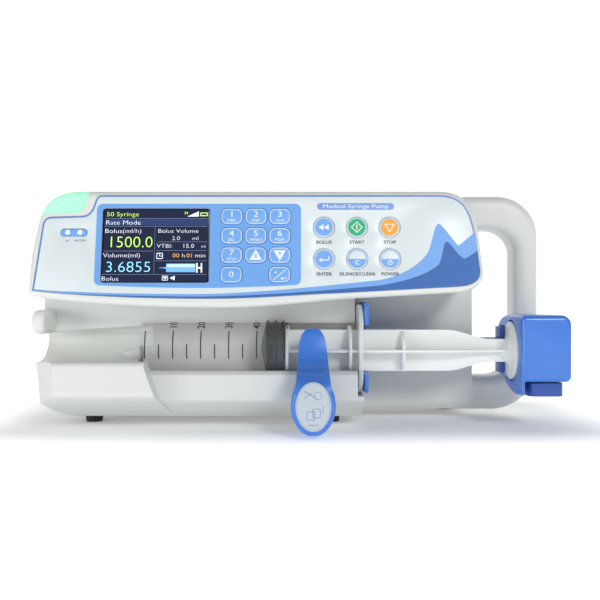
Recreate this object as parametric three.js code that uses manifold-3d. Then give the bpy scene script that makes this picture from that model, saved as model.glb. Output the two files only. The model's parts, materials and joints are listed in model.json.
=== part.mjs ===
// Bench syringe infusion pump with a loaded 50 ml syringe.
// Millimetres, +Z up. X runs along the syringe, Y towards the back, Z up from the table.
// Everything is placed from the syringe's axis (y = 0) and the table (z = 0); the last lines
// move the origin to the middle of the footprint.
import * as THREE from 'three';
import { mergeVertices } from 'three/addons/utils/BufferGeometryUtils.js';
import Module from 'manifold-3d';

const wasm = await Module();
wasm.setup();

// ---------------------------------------------------------------- driving dimensions
const GAP = 0.3;                    // clearance between pieces that touch
const WALL = 2.5;                   // moulded wall thickness
const SPLIT_Y = 35;                 // front face of the rear casing
const BACK_Y = 92;                  // rear face of the rear casing
const FLOOR_Z = 4.5;                // underside of the casings
const TOP_Z = 122.8;                // top of the console and of the rear casing
const LEFT_X = -137.5;              // left side of the casings
const RIGHT_X = 97;                 // right side of the rear casing
const BLOCK_X = 32.5;               // right end of the front casing
const BROW_Y = 9;                   // wall above the syringe, under the console

const AXIS_Z = 41.4;                // syringe axis height
const BARREL_R = 15.5;              // syringe barrel, outside
const BORE_R = 14.75;               // syringe barrel, inside
const BARREL_X0 = -82.7;            // shoulder of the barrel
const FLANGE_X0 = 29.8;             // finger flange, front face
const FLANGE_X1 = 32.2;
const STOPPER_X0 = -20.3;           // tip of the rubber stopper
const STOPPER_X1 = -8;
const PLUNGER_Z = 40.2;             // the plunger rides a little low in the barrel
const DISC_X0 = 109.2;              // thumb disc of the plunger
const DISC_X1 = 111.7;
const DISC_R = 15;
const TROUGH_R = 15.8;              // cradle under the barrel
const TROUGH_X0 = -84;

const TILT = THREE.MathUtils.degToRad(9.5);   // the console face leans back
const FACE_Y = -18;                 // foot of the console face
const FACE_Z = 62;

const TUBE_Y = 26;                  // pusher tube axis
const TUBE_Z = 40.5;
const TUBE_R = 5.5;
const TUBE_X0 = -25;
const SCREW_Y = 51;                 // lead screw axis
const SCREW_R = 4;
const GEAR_R = 13;                  // pitch radius of the gear on the lead screw
const PINION_R = 6.5;
const GEAR_TEETH = 26;
const PINION_TEETH = 13;
const ROD_Z = 60;                   // guide rod height
const ROD_R = 3;

const HEAD_X0 = 110.4;              // pusher head
const HEAD_X1 = 135.8;
const HEAD_Z0 = 25.4;
const HEAD_Z1 = 58.9;
const HEAD_Y0 = -22;
const HEAD_Y1 = 33.5;
const CLAW_X = 118;                 // claw shaft, upright inside the head
const CLAW_Y = 17;
const CLAW_HEIGHTS = [[27.9, 34.2], [45.9, 52.4]];
const CLAW_REACH_X = 106.4;          // far side of the hooks that hold the thumb disc

const LEVER_X = 6.3;                // syringe clamp lever, turning axis
const LEVER_Z = 16.2;
const LEVER_SHAFT_R = 3.5;

const HANDLE_X = 135;               // carrying handle
const HANDLE_TOP_Z = 125.5;
const HANDLE_BACK_Y = 60;
const GRIP_X0 = 97;                 // finger opening of the handle
const GRIP_X1 = 121.5;
const GRIP_Z0 = 23.5;
const GRIP_Z1 = 106.5;
const GRIP_CORNER_R = 14;

const POLE_Y = 115;                 // pole clamp, middle of the jaws
const POLE_Z = 60;

const INLET_Z = 78;                 // mains inlet, middle height

// ---------------------------------------------------------------- materials
function plastic(color, roughness = 0.45) {
  return new THREE.MeshStandardMaterial({ color, roughness, metalness: 0 });
}
function metal(color, roughness = 0.35) {
  return new THREE.MeshStandardMaterial({ color, roughness, metalness: 1 });
}
const shellWhite = plastic('#e6e9e4');
const syringeClear = plastic('#e4ebea', 0.2);
const plungerWhite = plastic('#eef2f2', 0.35);
const bluePlastic = plastic('#4e86dd');
const deepBlue = plastic('#2d4fa6');
const overlayWhite = plastic('#dfe9ea');
const keyBlue = plastic('#6ea6ee');
const lampGreen = plastic('#a6f5c6', 0.3);
const screenDark = plastic('#0c1230', 0.15);
const rubberBlack = plastic('#161616', 0.8);
const boardGreen = plastic('#1f6b3a');
const batteryGrey = plastic('#56606a');
const steel = metal('#c4c7ca');
const brass = metal('#c9a54f');

// ---------------------------------------------------------------- shape helpers
function polygon(points) {
  return new THREE.Shape(points.map(([a, b]) => new THREE.Vector2(a, b)));
}
function roundedRect(x0, x1, y0, y1, r) {
  const s = new THREE.Shape();
  s.absarc(x1 - r, y0 + r, r, -Math.PI / 2, 0);
  s.absarc(x1 - r, y1 - r, r, 0, Math.PI / 2);
  s.absarc(x0 + r, y1 - r, r, Math.PI / 2, Math.PI);
  s.absarc(x0 + r, y0 + r, r, Math.PI, 1.5 * Math.PI);
  s.closePath();
  return s;
}
function disc(x, y, r) {
  const s = new THREE.Shape();
  s.absarc(x, y, r, 0, 2 * Math.PI);
  return s;
}
function prismZ(shape, z0, z1, segments = 6) {
  const options = { depth: z1 - z0, bevelEnabled: false, curveSegments: segments };
  return new THREE.ExtrudeGeometry(shape, options).translate(0, 0, z0);
}
function prismY(shape, y0, y1, segments = 6) {          // the shape's (x, y) are world (X, Z)
  return prismZ(shape, 0, y1 - y0, segments).rotateX(Math.PI / 2).translate(0, y1, 0);
}
const alongX = new THREE.Matrix4().makeBasis(
  new THREE.Vector3(0, 1, 0),
  new THREE.Vector3(0, 0, 1),
  new THREE.Vector3(1, 0, 0),
);
function prismX(shape, x0, x1, segments = 6) {          // the shape's (x, y) are world (Y, Z)
  return prismZ(shape, x0, x1, segments).applyMatrix4(alongX);
}
function box(x0, x1, y0, y1, z0, z1) {
  const g = new THREE.BoxGeometry(x1 - x0, y1 - y0, z1 - z0);
  return g.translate((x0 + x1) / 2, (y0 + y1) / 2, (z0 + z1) / 2);
}
function rodX(r, x0, x1, y, z, sides = 20) {
  const g = new THREE.CylinderGeometry(r, r, x1 - x0, sides);
  return g.rotateZ(-Math.PI / 2).translate((x0 + x1) / 2, y, z);
}
function rodY(r, y0, y1, x, z, sides = 20) {
  const g = new THREE.CylinderGeometry(r, r, y1 - y0, sides);
  return g.translate(x, (y0 + y1) / 2, z);
}
function rodZ(r, z0, z1, x, y, sides = 20) {
  const g = new THREE.CylinderGeometry(r, r, z1 - z0, sides);
  return g.rotateX(Math.PI / 2).translate(x, y, (z0 + z1) / 2);
}

// ---------------------------------------------------------------- booleans
function solid(geometry) {
  const bare = geometry.clone();
  bare.deleteAttribute('normal');
  bare.deleteAttribute('uv');
  const welded = mergeVertices(bare, 1e-4);
  return new wasm.Manifold(new wasm.Mesh({
    numProp: 3,
    vertProperties: new Float32Array(welded.attributes.position.array),
    triVerts: new Uint32Array(welded.index.array),
  }));
}
function join(...geometries) {
  return geometries.map(solid).reduce((a, b) => a.add(b));
}
function cut(body, ...geometries) {
  return geometries.map(solid).reduce((a, b) => a.subtract(b), body);
}
function geometryOf(body) {
  const mesh = body.getMesh();
  const g = new THREE.BufferGeometry();
  g.setAttribute('position', new THREE.BufferAttribute(new Float32Array(mesh.vertProperties), 3));
  g.setIndex(new THREE.BufferAttribute(new Uint32Array(mesh.triVerts), 1));
  return g;
}

const pump = new THREE.Group();
const panel = new THREE.Group();     // lies in the console face: x right, y up the face, z outwards
panel.position.set(0, FACE_Y, FACE_Z);
panel.rotation.x = Math.PI / 2 - TILT;
pump.add(panel);

function add(name, shape, material, parent = pump) {
  const mesh = new THREE.Mesh(shape.isBufferGeometry ? shape : geometryOf(shape), material);
  mesh.name = name;
  parent.add(mesh);
  return mesh;
}

// ---------------------------------------------------------------- front casing
function frontCasing() {
  const inner = WALL;
  const apronFront = -27.5;
  const leftSection = polygon([
    [SPLIT_Y - GAP, FLOOR_Z], [10, FLOOR_Z], [-24, 17.5], [apronFront, 20], [apronFront, 34.5],
    [-26, 36], [-22, 36], [-19, 34], [9, 34], [19, 43.5], [19, 50], [BROW_Y, 52], [BROW_Y, 61.5],
    [SPLIT_Y - GAP, 61.5],
  ]);
  const midSection = polygon([
    [SPLIT_Y - GAP, FLOOR_Z], [10, FLOOR_Z], [-13, 14], [-15.5, 16.5], [-15.5, 21.5], [-8, 27.8],
    [BROW_Y, 42], [BROW_Y, 61.5], [SPLIT_Y - GAP, 61.5],
  ]);
  const leftHollow = polygon([
    [SPLIT_Y, FLOOR_Z + inner], [11, FLOOR_Z + inner], [-23, 20], [-25, 21.5], [-25, 31.5],
    [10.5, 31.5], [21.5, 42.5], [21.5, 59], [SPLIT_Y, 59],
  ]);
  const midHollow = polygon([
    [SPLIT_Y, FLOOR_Z + inner], [11, FLOOR_Z + inner], [-11, 16.5], [-13, 18], [-13, 20],
    [-7.5, 24.5], [0, 23], [19.4, 30], [19.4, 50], [21.5, 54], [21.5, 59], [SPLIT_Y, 59],
  ]);
  const outline = new THREE.Shape();
  outline.moveTo(LEFT_X, 62);
  outline.lineTo(-137, 54);
  outline.lineTo(-134, 40);
  outline.lineTo(-131.5, 24);
  outline.bezierCurveTo(-129.5, 12, -126, FLOOR_Z, -114, FLOOR_Z);
  outline.lineTo(BLOCK_X, FLOOR_Z);
  outline.lineTo(BLOCK_X, 62);
  outline.closePath();
  const hollowOutline = new THREE.Shape();
  hollowOutline.moveTo(-134.5, 62);
  hollowOutline.lineTo(-131, 40);
  hollowOutline.lineTo(-128.8, 24);
  hollowOutline.bezierCurveTo(-127, 13, -124, FLOOR_Z + inner, -113, FLOOR_Z + inner);
  hollowOutline.lineTo(BLOCK_X - inner, FLOOR_Z + inner);
  hollowOutline.lineTo(BLOCK_X - inner, 62);
  hollowOutline.closePath();
  const barrelSpace = solid(rodX(TROUGH_R + inner, TROUGH_X0 - inner, BLOCK_X, 0, AXIS_Z, 40));
  const rightOfApron = polygon([[-76.5, 40], [-76.5, 35], [-66, 14], [-60, 2], [60, 2], [60, 40]]);
  const apronCut = prismY(rightOfApron, -40, -15.5);
  const blank = join(prismX(leftSection, LEFT_X - 1, -66), prismX(midSection, -66.01, BLOCK_X));
  const hollow = join(prismX(leftHollow, LEFT_X - 1, -85), prismX(midHollow, -85.01, BLOCK_X));
  let body = blank.intersect(solid(prismY(outline, -60, 60, 8)));
  body = body.subtract(hollow.subtract(barrelSpace).intersect(solid(prismY(hollowOutline, -60, 60, 8))));
  const cheek = roundedRect(-13, 22, 49, 61.5, 5);
  body = body.add(solid(prismX(cheek, LEFT_X + 0.3, -130)));
  return cut(
    body,
    apronCut,
    rodX(TROUGH_R, TROUGH_X0, BLOCK_X + 1, 0, AXIS_Z, 48),
    box(FLANGE_X0 - 0.5, BLOCK_X + 1, -40, 18.6, 17.6, 70),
    rodX(TUBE_R + 0.5, 20, BLOCK_X + 1, TUBE_Y, TUBE_Z),
    rodY(LEVER_SHAFT_R + 0.4, -40, 12, LEVER_X, LEVER_Z),
    rodZ(1.4, 0, 12, -113, 23),
    rodZ(1.4, 0, 12, 17, 23),
  );
}
add('front_casing', frontCasing(), shellWhite);

// ---------------------------------------------------------------- console shell
function consoleOutline(inset) {                     // in the console face: x right, y up the face
  const s = new THREE.Shape();
  const i = inset;
  s.moveTo(-137.8 + i, 10);
  s.bezierCurveTo(-137.8 + i, 7 + i, -136 + i, 6.2 + i, -130, 5.3 + i);
  s.bezierCurveTo(-105, 1.6 + i, -70, 0.2 + i, -40, 0.2 + i);
  s.bezierCurveTo(-15, 0.2 + i, 5, 3.6 + i, 25, 5.1 + i);
  s.lineTo(80, 8.3 + i);
  s.bezierCurveTo(88, 8.8 + i, 93.2 - i, 12 + i, 93.4 - i, 19);
  s.lineTo(91.8 - i, 37);
  s.bezierCurveTo(90.5 - i, 52, 86 - i, 61.6 - i, 72 - i, 61.6 - i);
  s.lineTo(-113 + i, 61.6 - i);
  s.bezierCurveTo(-126 + i, 61.6 - i, -132 + i, 56, -134.3 + i, 45);
  s.lineTo(-137.2 + i, 27);
  s.closePath();
  return s;
}
const shear = new THREE.Matrix4().set(
  1, 0, 0, 0,
  0, 1, Math.tan(TILT), -FACE_Z * Math.tan(TILT),
  0, 0, 1, 0,
  0, 0, 0, 1,
);
function consolePrism(shape, front, depth, bevel) {
  const options = { depth, curveSegments: 5, bevelEnabled: bevel > 0 };
  Object.assign(options, { bevelSize: bevel, bevelThickness: bevel, bevelOffset: -bevel, bevelSegments: 2 });
  const g = new THREE.ExtrudeGeometry(shape, options);
  g.scale(1, Math.cos(TILT), 1).rotateX(Math.PI / 2);
  g.translate(0, FACE_Y + front + depth, FACE_Z);
  return g.applyMatrix4(shear);
}
function overlayOutline(inset) {
  const s = new THREE.Shape();
  const i = inset;
  s.moveTo(-135 + i, 9.4 + i);
  s.bezierCurveTo(-110, 6.8 + i, -80, 5.4 + i, -45, 5.4 + i);
  s.bezierCurveTo(-20, 5.4 + i, 0, 7.6 + i, 20, 8.2 + i);
  s.lineTo(80, 11.5 + i);
  s.bezierCurveTo(87, 12 + i, 91.4 - i, 14, 91.2 - i, 20);
  s.lineTo(89.4 - i, 37);
  s.bezierCurveTo(87.5 - i, 51, 84 - i, 59 - i, 71, 59 - i);
  s.lineTo(-101.5, 59 - i);
  s.bezierCurveTo(-105.5 + i, 59 - i, -104.5 + i, 54, -107 + i, 50.5);
  s.bezierCurveTo(-108.2 + i, 48.6 - i, -110, 48 - i, -113, 48 - i);
  s.lineTo(-126.5 + i, 47.6 - i);
  s.bezierCurveTo(-130 + i, 47.5 - i, -131 + i, 46, -131.4 + i, 43);
  s.closePath();
  return s;
}
function lampOutline(inset) {
  const s = new THREE.Shape();
  const i = inset;
  s.moveTo(-139 + i, 48.6 + i);
  s.lineTo(-116, 49.8 + i);
  s.bezierCurveTo(-110.8 - i, 50 + i, -110 - i, 53, -108.3 - i, 62.5);
  s.lineTo(-107.6 - i, 70);
  s.lineTo(-139, 70);
  s.closePath();
  return s;
}
function frontHalf(body) {
  return body.intersect(solid(box(-200, 200, -60, SPLIT_Y - GAP, 0, 200)));
}
const LAMP_DEPTH = 22;
const OVERLAY_T = 1.2;
const LCD = { x0: -100.8, x1: -46.2, y0: 13.6, y1: 52 };
const KEY_COLUMNS = [-34.8, -22.5, -10.3];
const KEY_ROWS = [47.8, 37.7, 27.6, 17.5];
const KEY_W = 11;
const KEY_H = 8.4;
const FUNCTION_COLUMNS = [12.2, 29, 45.7];
const FUNCTION_ROWS = [42.1, 25.6];
const FUNCTION_R = 5.4;
const LED_BAR = { x0: -122, x1: -108.7, y: 39.5, h: 3.6 };
const KEY_GAP = 0.25;
const KEY_TOP = 0.5;                // keys stand proud of the face by this much
const KEY_BACK = -2.2;
const CORNER_SEGMENTS = 3;
const ROUND_SEGMENTS = 8;

function consoleShell() {
  const neck = join(
    box(LEFT_X, FLANGE_X0 - 0.5, BROW_Y, 80, 61.8, 72),
    box(FLANGE_X0 - 1, BLOCK_X, 19, 80, 61.8, 72),
  );
  let outer = solid(consolePrism(consoleOutline(0), 0, 70, 2.2)).add(neck);
  outer = frontHalf(outer);
  let hollow = solid(consolePrism(consoleOutline(WALL), WALL + OVERLAY_T, 80, 0));
  hollow = hollow.add(solid(box(LEFT_X + WALL, BLOCK_X - WALL, 21.5, 80, 60, 74)));
  const pocket = consolePrism(overlayOutline(-0.3), -5, 5 + OVERLAY_T + GAP, 0);
  const windowHole = lcdShape(1, 2);
  const padHole = roundedRect(-42, -3.4, 12, 53.5, 2);
  const functionHole = roundedRect(5.2, 52.8, 18.5, 49, 2);
  const ledHole = roundedRect(LED_BAR.x0, LED_BAR.x1, LED_BAR.y - 1.5, LED_BAR.y + 1.5, 1.4);
  const holes = [windowHole, padHole, functionHole, ledHole].map((s) => consolePrism(s, -5, 15, 0));
  const lampSpace = solid(consolePrism(lampOutline(-0.3), -5, 5 + LAMP_DEPTH, 0));
  return cut(outer.subtract(hollow), pocket, ...holes).subtract(lampSpace);
}
add('console_shell', consoleShell(), shellWhite);

function alarmLamp() {
  const block = solid(consolePrism(consoleOutline(0), 0, 70, 2.2));
  const lens = block.intersect(solid(consolePrism(lampOutline(0), -5, 5 + LAMP_DEPTH - GAP, 0)));
  const inside = solid(consolePrism(consoleOutline(2), 2.2, 40, 0));
  return lens.subtract(inside.intersect(solid(consolePrism(lampOutline(2), 0, 60, 0))));
}
add('alarm_lamp', alarmLamp(), lampGreen);

// ---------------------------------------------------------------- console face
function roundKeyHole(x, y, r) {
  const p = new THREE.Path();
  p.absarc(x, y, r, 0, 2 * Math.PI, true);
  return p;
}
function keyPads() {                                 // name, x, y of each keypad key
  const names = [
    ['key_1', 'key_2', 'key_3'],
    ['key_4', 'key_5', 'key_6'],
    ['key_7', 'key_8_up', 'key_9_down'],
    ['key_0', null, 'key_decimal_back'],
  ];
  const list = [];
  names.forEach((row, r) => row.forEach((name, c) => {
    if (name) list.push({ name, x: KEY_COLUMNS[c], y: KEY_ROWS[r] });
  }));
  return list;
}
function functionPads() {
  const names = [['bolus_key', 'start_key', 'stop_key'], ['enter_key', 'silence_key', 'power_key']];
  const list = [];
  names.forEach((row, r) => row.forEach((name, c) => {
    list.push({ name, x: FUNCTION_COLUMNS[c], y: FUNCTION_ROWS[r] });
  }));
  return list;
}
function keyShape(x, y, grow) {
  const w = KEY_W / 2 + grow;
  const h = KEY_H / 2 + grow;
  return roundedRect(x - w, x + w, y - h, y + h, 3.2 + grow);
}
function lcdShape(grow, r) {
  return roundedRect(LCD.x0 - grow, LCD.x1 + grow, LCD.y0 - grow, LCD.y1 + grow, r);
}
function ledShape(grow) {
  const h = LED_BAR.h / 2 + grow;
  return roundedRect(LED_BAR.x0 - grow, LED_BAR.x1 + grow, LED_BAR.y - h, LED_BAR.y + h, 1.75);
}
function faceOverlay() {
  const sheet = solid(prismZ(overlayOutline(0), -OVERLAY_T, 0, 4));
  const lcdHole = lcdShape(GAP, 1.6);
  const ledHole = ledShape(GAP);
  const keyHoles = keyPads().map((k) => keyShape(k.x, k.y, KEY_GAP));
  const roundHoles = functionPads().map((k) => disc(k.x, k.y, FUNCTION_R + KEY_GAP));
  const corners = [lcdHole, ledHole, ...keyHoles].map((s) => prismZ(s, -3, 3, CORNER_SEGMENTS));
  const circles = roundHoles.map((s) => prismZ(s, -3, 3, ROUND_SEGMENTS));
  return cut(sheet, ...corners, ...circles);
}
add('face_overlay', faceOverlay(), overlayWhite, panel);
for (const k of keyPads()) {
  add(k.name, prismZ(keyShape(k.x, k.y, 0), KEY_BACK, KEY_TOP, CORNER_SEGMENTS), keyBlue, panel);
}
for (const k of functionPads()) {
  add(k.name, prismZ(disc(k.x, k.y, FUNCTION_R), KEY_BACK, KEY_TOP, ROUND_SEGMENTS), keyBlue, panel);
}
add('screen_window', prismZ(lcdShape(0, 1.4), -OVERLAY_T, -0.1), screenDark, panel);
add('status_led_bar', prismZ(ledShape(0), -OVERLAY_T, 0.3, 5), bluePlastic, panel);
add('screen_module', prismZ(lcdShape(2, 1), -8.5, -4.4), screenDark, panel);
add('key_board', prismZ(roundedRect(-42, 54, 12, 54, 2), -6.3, -4.6), boardGreen, panel);

// ---------------------------------------------------------------- rear casing with the handle
function rearCasing() {
  const bodyOutline = new THREE.Shape();
  bodyOutline.absarc(LEFT_X + 18, FLOOR_Z + 18, 18, Math.PI, 1.5 * Math.PI);
  bodyOutline.lineTo(RIGHT_X, FLOOR_Z);
  bodyOutline.lineTo(RIGHT_X, TOP_Z);
  bodyOutline.absarc(LEFT_X + 20, TOP_Z - 20, 20, Math.PI / 2, Math.PI);
  bodyOutline.closePath();
  const cavity = new THREE.Shape();
  const c = WALL;
  cavity.absarc(LEFT_X + 18, FLOOR_Z + 18, 18 - c, Math.PI, 1.5 * Math.PI);
  cavity.lineTo(RIGHT_X - c, FLOOR_Z + c);
  cavity.lineTo(RIGHT_X - c, TOP_Z - c);
  cavity.absarc(LEFT_X + 20, TOP_Z - 20, 20 - c, Math.PI / 2, Math.PI);
  cavity.closePath();
  const handle = new THREE.Shape();
  handle.moveTo(RIGHT_X - 8, FLOOR_Z);
  handle.lineTo(HANDLE_X - 26, FLOOR_Z);
  handle.absarc(HANDLE_X - 26, FLOOR_Z + 26, 26, -Math.PI / 2, 0);
  handle.absarc(HANDLE_X - 23, HANDLE_TOP_Z - 23, 23, 0, Math.PI / 2);
  handle.lineTo(RIGHT_X - 8, HANDLE_TOP_Z);
  handle.closePath();
  const grip = new THREE.Shape();
  grip.moveTo(GRIP_X0, GRIP_Z0);
  grip.lineTo(GRIP_X1 - GRIP_CORNER_R, GRIP_Z0);
  grip.absarc(GRIP_X1 - GRIP_CORNER_R, GRIP_Z0 + GRIP_CORNER_R, GRIP_CORNER_R, -Math.PI / 2, 0);
  grip.absarc(GRIP_X1 - GRIP_CORNER_R, GRIP_Z1 - GRIP_CORNER_R, GRIP_CORNER_R, 0, Math.PI / 2);
  grip.lineTo(GRIP_X0, GRIP_Z1);
  grip.closePath();
  const ring = solid(prismY(handle, SPLIT_Y, HANDLE_BACK_Y, 8));
  let body = solid(prismY(bodyOutline, SPLIT_Y, BACK_Y, 8));
  body = body.add(cut(ring, prismY(grip, 0, 200, 8), box(0, RIGHT_X - 4, 0, 200, 0, 200)));
  body = cut(
    body,
    prismY(cavity, SPLIT_Y + WALL, BACK_Y - WALL, 6),
    box(LEFT_X + WALL, BLOCK_X - WALL, SPLIT_Y - 5, 50, 8, 112),
    box(LEFT_X + 12, RIGHT_X - WALL - 4, SPLIT_Y - 5, 50, 74, TOP_Z - WALL - 1),
    box(5, 80, 62, 86, 0, 12),
    box(-112, -84, 80, 100, INLET_Z - 11, INLET_Z + 11),
  );
  for (const [x, y] of footPlaces.slice(2)) {
    body = cut(body, rodZ(1.4, 0, 12, x, y));
  }
  for (const [x, z] of screwPlaces) {
    body = cut(body, rodY(3.3, BACK_Y - 1.8, 100, x, z, 16), rodY(1.5, 80, 100, x, z, 12));
  }
  return body;
}
const footPlaces = [[-113, 23], [17, 23], [-105, 78], [88, 78]];
const screwPlaces = [[-116, 106], [86, 110], [0, 12], [86, 12]];
add('rear_casing', rearCasing(), shellWhite);

screwPlaces.forEach(([x, z], n) => {
  const screw = join(
    rodY(3, BACK_Y - 1.8 + GAP, BACK_Y + 0.3, x, z, 16),
    rodY(1.2, BACK_Y - 12, BACK_Y - 1, x, z, 10),
  );
  add(`casing_screw_${n + 1}`, screw, steel);
});

footPlaces.forEach(([x, y], n) => {
  const foot = new THREE.CylinderGeometry(4.9, 4.4, FLOOR_Z - GAP, 20);
  foot.rotateX(Math.PI / 2).translate(x, y, (FLOOR_Z - GAP) / 2);
  const plug = rodZ(1.1, FLOOR_Z - 1, FLOOR_Z + 5, x, y, 10);
  add(`rubber_foot_${n + 1}`, join(foot, plug), rubberBlack);
});

// ---------------------------------------------------------------- syringe
function syringeBarrel() {
  const flange = roundedRect(-16, 16, AXIS_Z - 22.8, AXIS_Z + 22.8, 12);
  const nozzleZ = AXIS_Z - 2.6;
  const outer = join(
    rodX(BARREL_R, BARREL_X0, FLANGE_X0 + 1, 0, AXIS_Z, 32),
    prismX(flange, FLANGE_X0, FLANGE_X1, 6),
    rodX(3.6, BARREL_X0 - 10, BARREL_X0 + 1, 0, nozzleZ, 16),
  );
  return cut(
    outer,
    rodX(BORE_R, BARREL_X0 + 1.5, 60, 0, AXIS_Z, 32),
    rodX(1.2, BARREL_X0 - 20, BARREL_X0 + 3, 0, nozzleZ, 10),
  );
}
add('syringe_barrel', syringeBarrel(), syringeClear);

function lathe(points, x) {                         // points are (radius, x); turned about the syringe axis
  const g = new THREE.LatheGeometry(points.map(([r, h]) => new THREE.Vector2(r, h)), 24);
  return g.rotateZ(-Math.PI / 2).translate(x, 0, AXIS_Z);
}
function plungerStopper() {
  const length = STOPPER_X1 - STOPPER_X0;
  const seal = BORE_R - 0.15;
  return lathe([
    [0, 0], [5, 0.8], [13.2, 3.2], [seal, 4.2], [seal, 5.4], [13.2, 6.2],
    [13.2, 9], [seal, 9.8], [seal, 11.4], [13.6, length], [0, length],
  ], STOPPER_X0);
}
add('plunger_stopper', plungerStopper(), rubberBlack);

function plungerRod() {
  const finR = 10.8;
  const neckR = 6;
  const ribR = 13;
  const start = STOPPER_X1 + GAP;
  const fin = (middle) => polygon([
    [start, middle - finR], [79, middle - finR], [97, middle - neckR], [DISC_X0 + 0.5, middle - neckR],
    [DISC_X0 + 0.5, middle + neckR], [97, middle + neckR], [79, middle + finR], [start, middle + finR],
  ]);
  return join(
    prismY(fin(PLUNGER_Z), -1, 1),
    prismZ(fin(0), PLUNGER_Z - 1, PLUNGER_Z + 1),
    rodX(ribR, start, start + 2, 0, PLUNGER_Z, 32),
    rodX(ribR, 25, 26.6, 0, PLUNGER_Z, 32),
    rodX(finR - 0.5, 52.6, 54.2, 0, PLUNGER_Z, 28),
    rodX(DISC_R, DISC_X0, DISC_X1, 0, PLUNGER_Z, 24),
  );
}
add('plunger_rod', plungerRod(), plungerWhite);

// ---------------------------------------------------------------- flange retainer
function flangeRetainer() {
  const plate = roundedRect(-14, 30, 19, 65.5, 4);
  const x0 = FLANGE_X1 + 0.6;
  const body = join(prismX(plate, x0, x0 + 2.2), box(x0, x0 + 2.2, 20, SPLIT_Y - GAP, 20, 64));
  return cut(
    body,
    prismX(roundedRect(-30, 12.5, AXIS_Z - 12.5, AXIS_Z + 12.5, 6), x0 - 1, x0 + 4),
    rodX(TUBE_R + 0.5, x0 - 1, x0 + 4, TUBE_Y, TUBE_Z),
  );
}
add('flange_retainer', flangeRetainer(), bluePlastic);

// ---------------------------------------------------------------- syringe clamp lever
function clampLever() {
  const side = polygon([
    [-16.3, 44], [-16.3, 30.5], [-21, 26], [-24, 22], [-24, LEVER_Z - 6], [-30, 2.6], [-43, 2.1], [-45.5, 4],
    [-46.5, 24], [-43, 29.8], [-33, 33.5], [-27, 38], [-25, 47], [-23.5, 51.8], [-20.5, 52.6], [-17.5, 50.5],
  ]);
  const front = new THREE.Shape();
  front.absellipse(LEVER_X, LEVER_Z, 10.7, 14.2, 0, 2 * Math.PI);
  const finger = polygon([[-9, 16], [-8.2, 30], [-6.8, 44], [-5.5, 49], [-2.8, 52], [0, 52.7],
    [2.8, 52], [5.5, 49], [6.8, 44], [8.2, 30], [9, 16]].map(([x, z]) => [x + LEVER_X, z]));
  const facing = join(prismY(front, -60, 0, 14), prismY(finger, -60, 0));
  const blade = solid(prismX(side, -20, 40)).intersect(facing);
  return cut(blade, rodY(LEVER_SHAFT_R + GAP, -38, 0, LEVER_X, LEVER_Z));
}
add('clamp_lever', clampLever(), bluePlastic);
add('clamp_shaft', rodY(LEVER_SHAFT_R, -37.5, 15, LEVER_X, LEVER_Z), steel);

// ---------------------------------------------------------------- pusher
function pusherTube() {
  const end = HEAD_X0 + 6;
  const tube = solid(rodX(TUBE_R, TUBE_X0, end, TUBE_Y, TUBE_Z, 24));
  return cut(tube, rodX(TUBE_R - 1.5, TUBE_X0 - 1, end + 1, TUBE_Y, TUBE_Z, 16));
}
add('pusher_tube', pusherTube(), deepBlue);

function headProfile(inset) {                        // seen along the syringe: (y, z)
  const i = inset;
  return polygon([
    [HEAD_Y0 + i, HEAD_Z0], [20, HEAD_Z0], [28, HEAD_Z0 + 3], [HEAD_Y1 - 2 * i, 35],
    [HEAD_Y1 - 2 * i, 47], [27 - i, 54 - i], [18 - i, 57 - i], [6, HEAD_Z1 - i], [HEAD_Y0 + i, HEAD_Z1 - i],
  ]);
}
function pusherHead() {
  const wall = 2;
  const sideWall = 4.2;
  const outline = new THREE.Shape();
  outline.moveTo(HEAD_X0, HEAD_Z0);
  outline.lineTo(HEAD_X1 - 1.5, HEAD_Z0);
  outline.lineTo(HEAD_X1, HEAD_Z0 + 2);
  outline.absarc(HEAD_X1 - 5, HEAD_Z1 - 5, 5, 0, Math.PI / 2);
  outline.lineTo(HEAD_X0 + 2, HEAD_Z1);
  outline.lineTo(HEAD_X0, HEAD_Z1 - 2);
  outline.closePath();
  const block = solid(prismY(outline, HEAD_Y0, HEAD_Y1));
  const skirt = polygon([[-21.5, 40], [-21, 18.5], [-10, 18], [18, 25], [28, 33], [28, 40]]);
  const body = block.intersect(solid(prismX(headProfile(0), HEAD_X0, HEAD_X1)));
  return cut(
    body.add(solid(prismX(skirt, HEAD_X0, HEAD_X0 + wall))),
    prismX(headProfile(wall), HEAD_X0 + sideWall, HEAD_X1 - wall),
    box(HEAD_X0 + sideWall, HEAD_X1 - wall, HEAD_Y0 + wall, 18, HEAD_Z0 - 5, HEAD_Z0 + 1),
    rodX(DISC_R + 1, HEAD_X0 - 1, DISC_X1 + GAP, 0, PLUNGER_Z, 32),
    ...CLAW_HEIGHTS.map(([z0, z1]) => box(HEAD_X0 - 1, HEAD_X0 + 5, 14.9, 24.5, z0 - 0.5, z1 + 0.5)),
    rodX(TUBE_R + GAP, HEAD_X0 - 1, HEAD_X0 + 6, TUBE_Y, TUBE_Z, 24),
  );
}
add('pusher_head', pusherHead(), bluePlastic);

function discClaws() {
  const parts = [rodZ(2.6, CLAW_HEIGHTS[0][0], CLAW_HEIGHTS[1][1], CLAW_X, CLAW_Y, 14)];
  for (const [z0, z1] of CLAW_HEIGHTS) {
    parts.push(box(CLAW_REACH_X, CLAW_X, CLAW_Y - 1.4, CLAW_Y + 1.6, z0, z1));
    parts.push(box(CLAW_REACH_X, CLAW_REACH_X + 2.4, 7, CLAW_Y + 1.6, z0, z1));
  }
  return join(...parts);
}
add('disc_claws', discClaws(), deepBlue);

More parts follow.
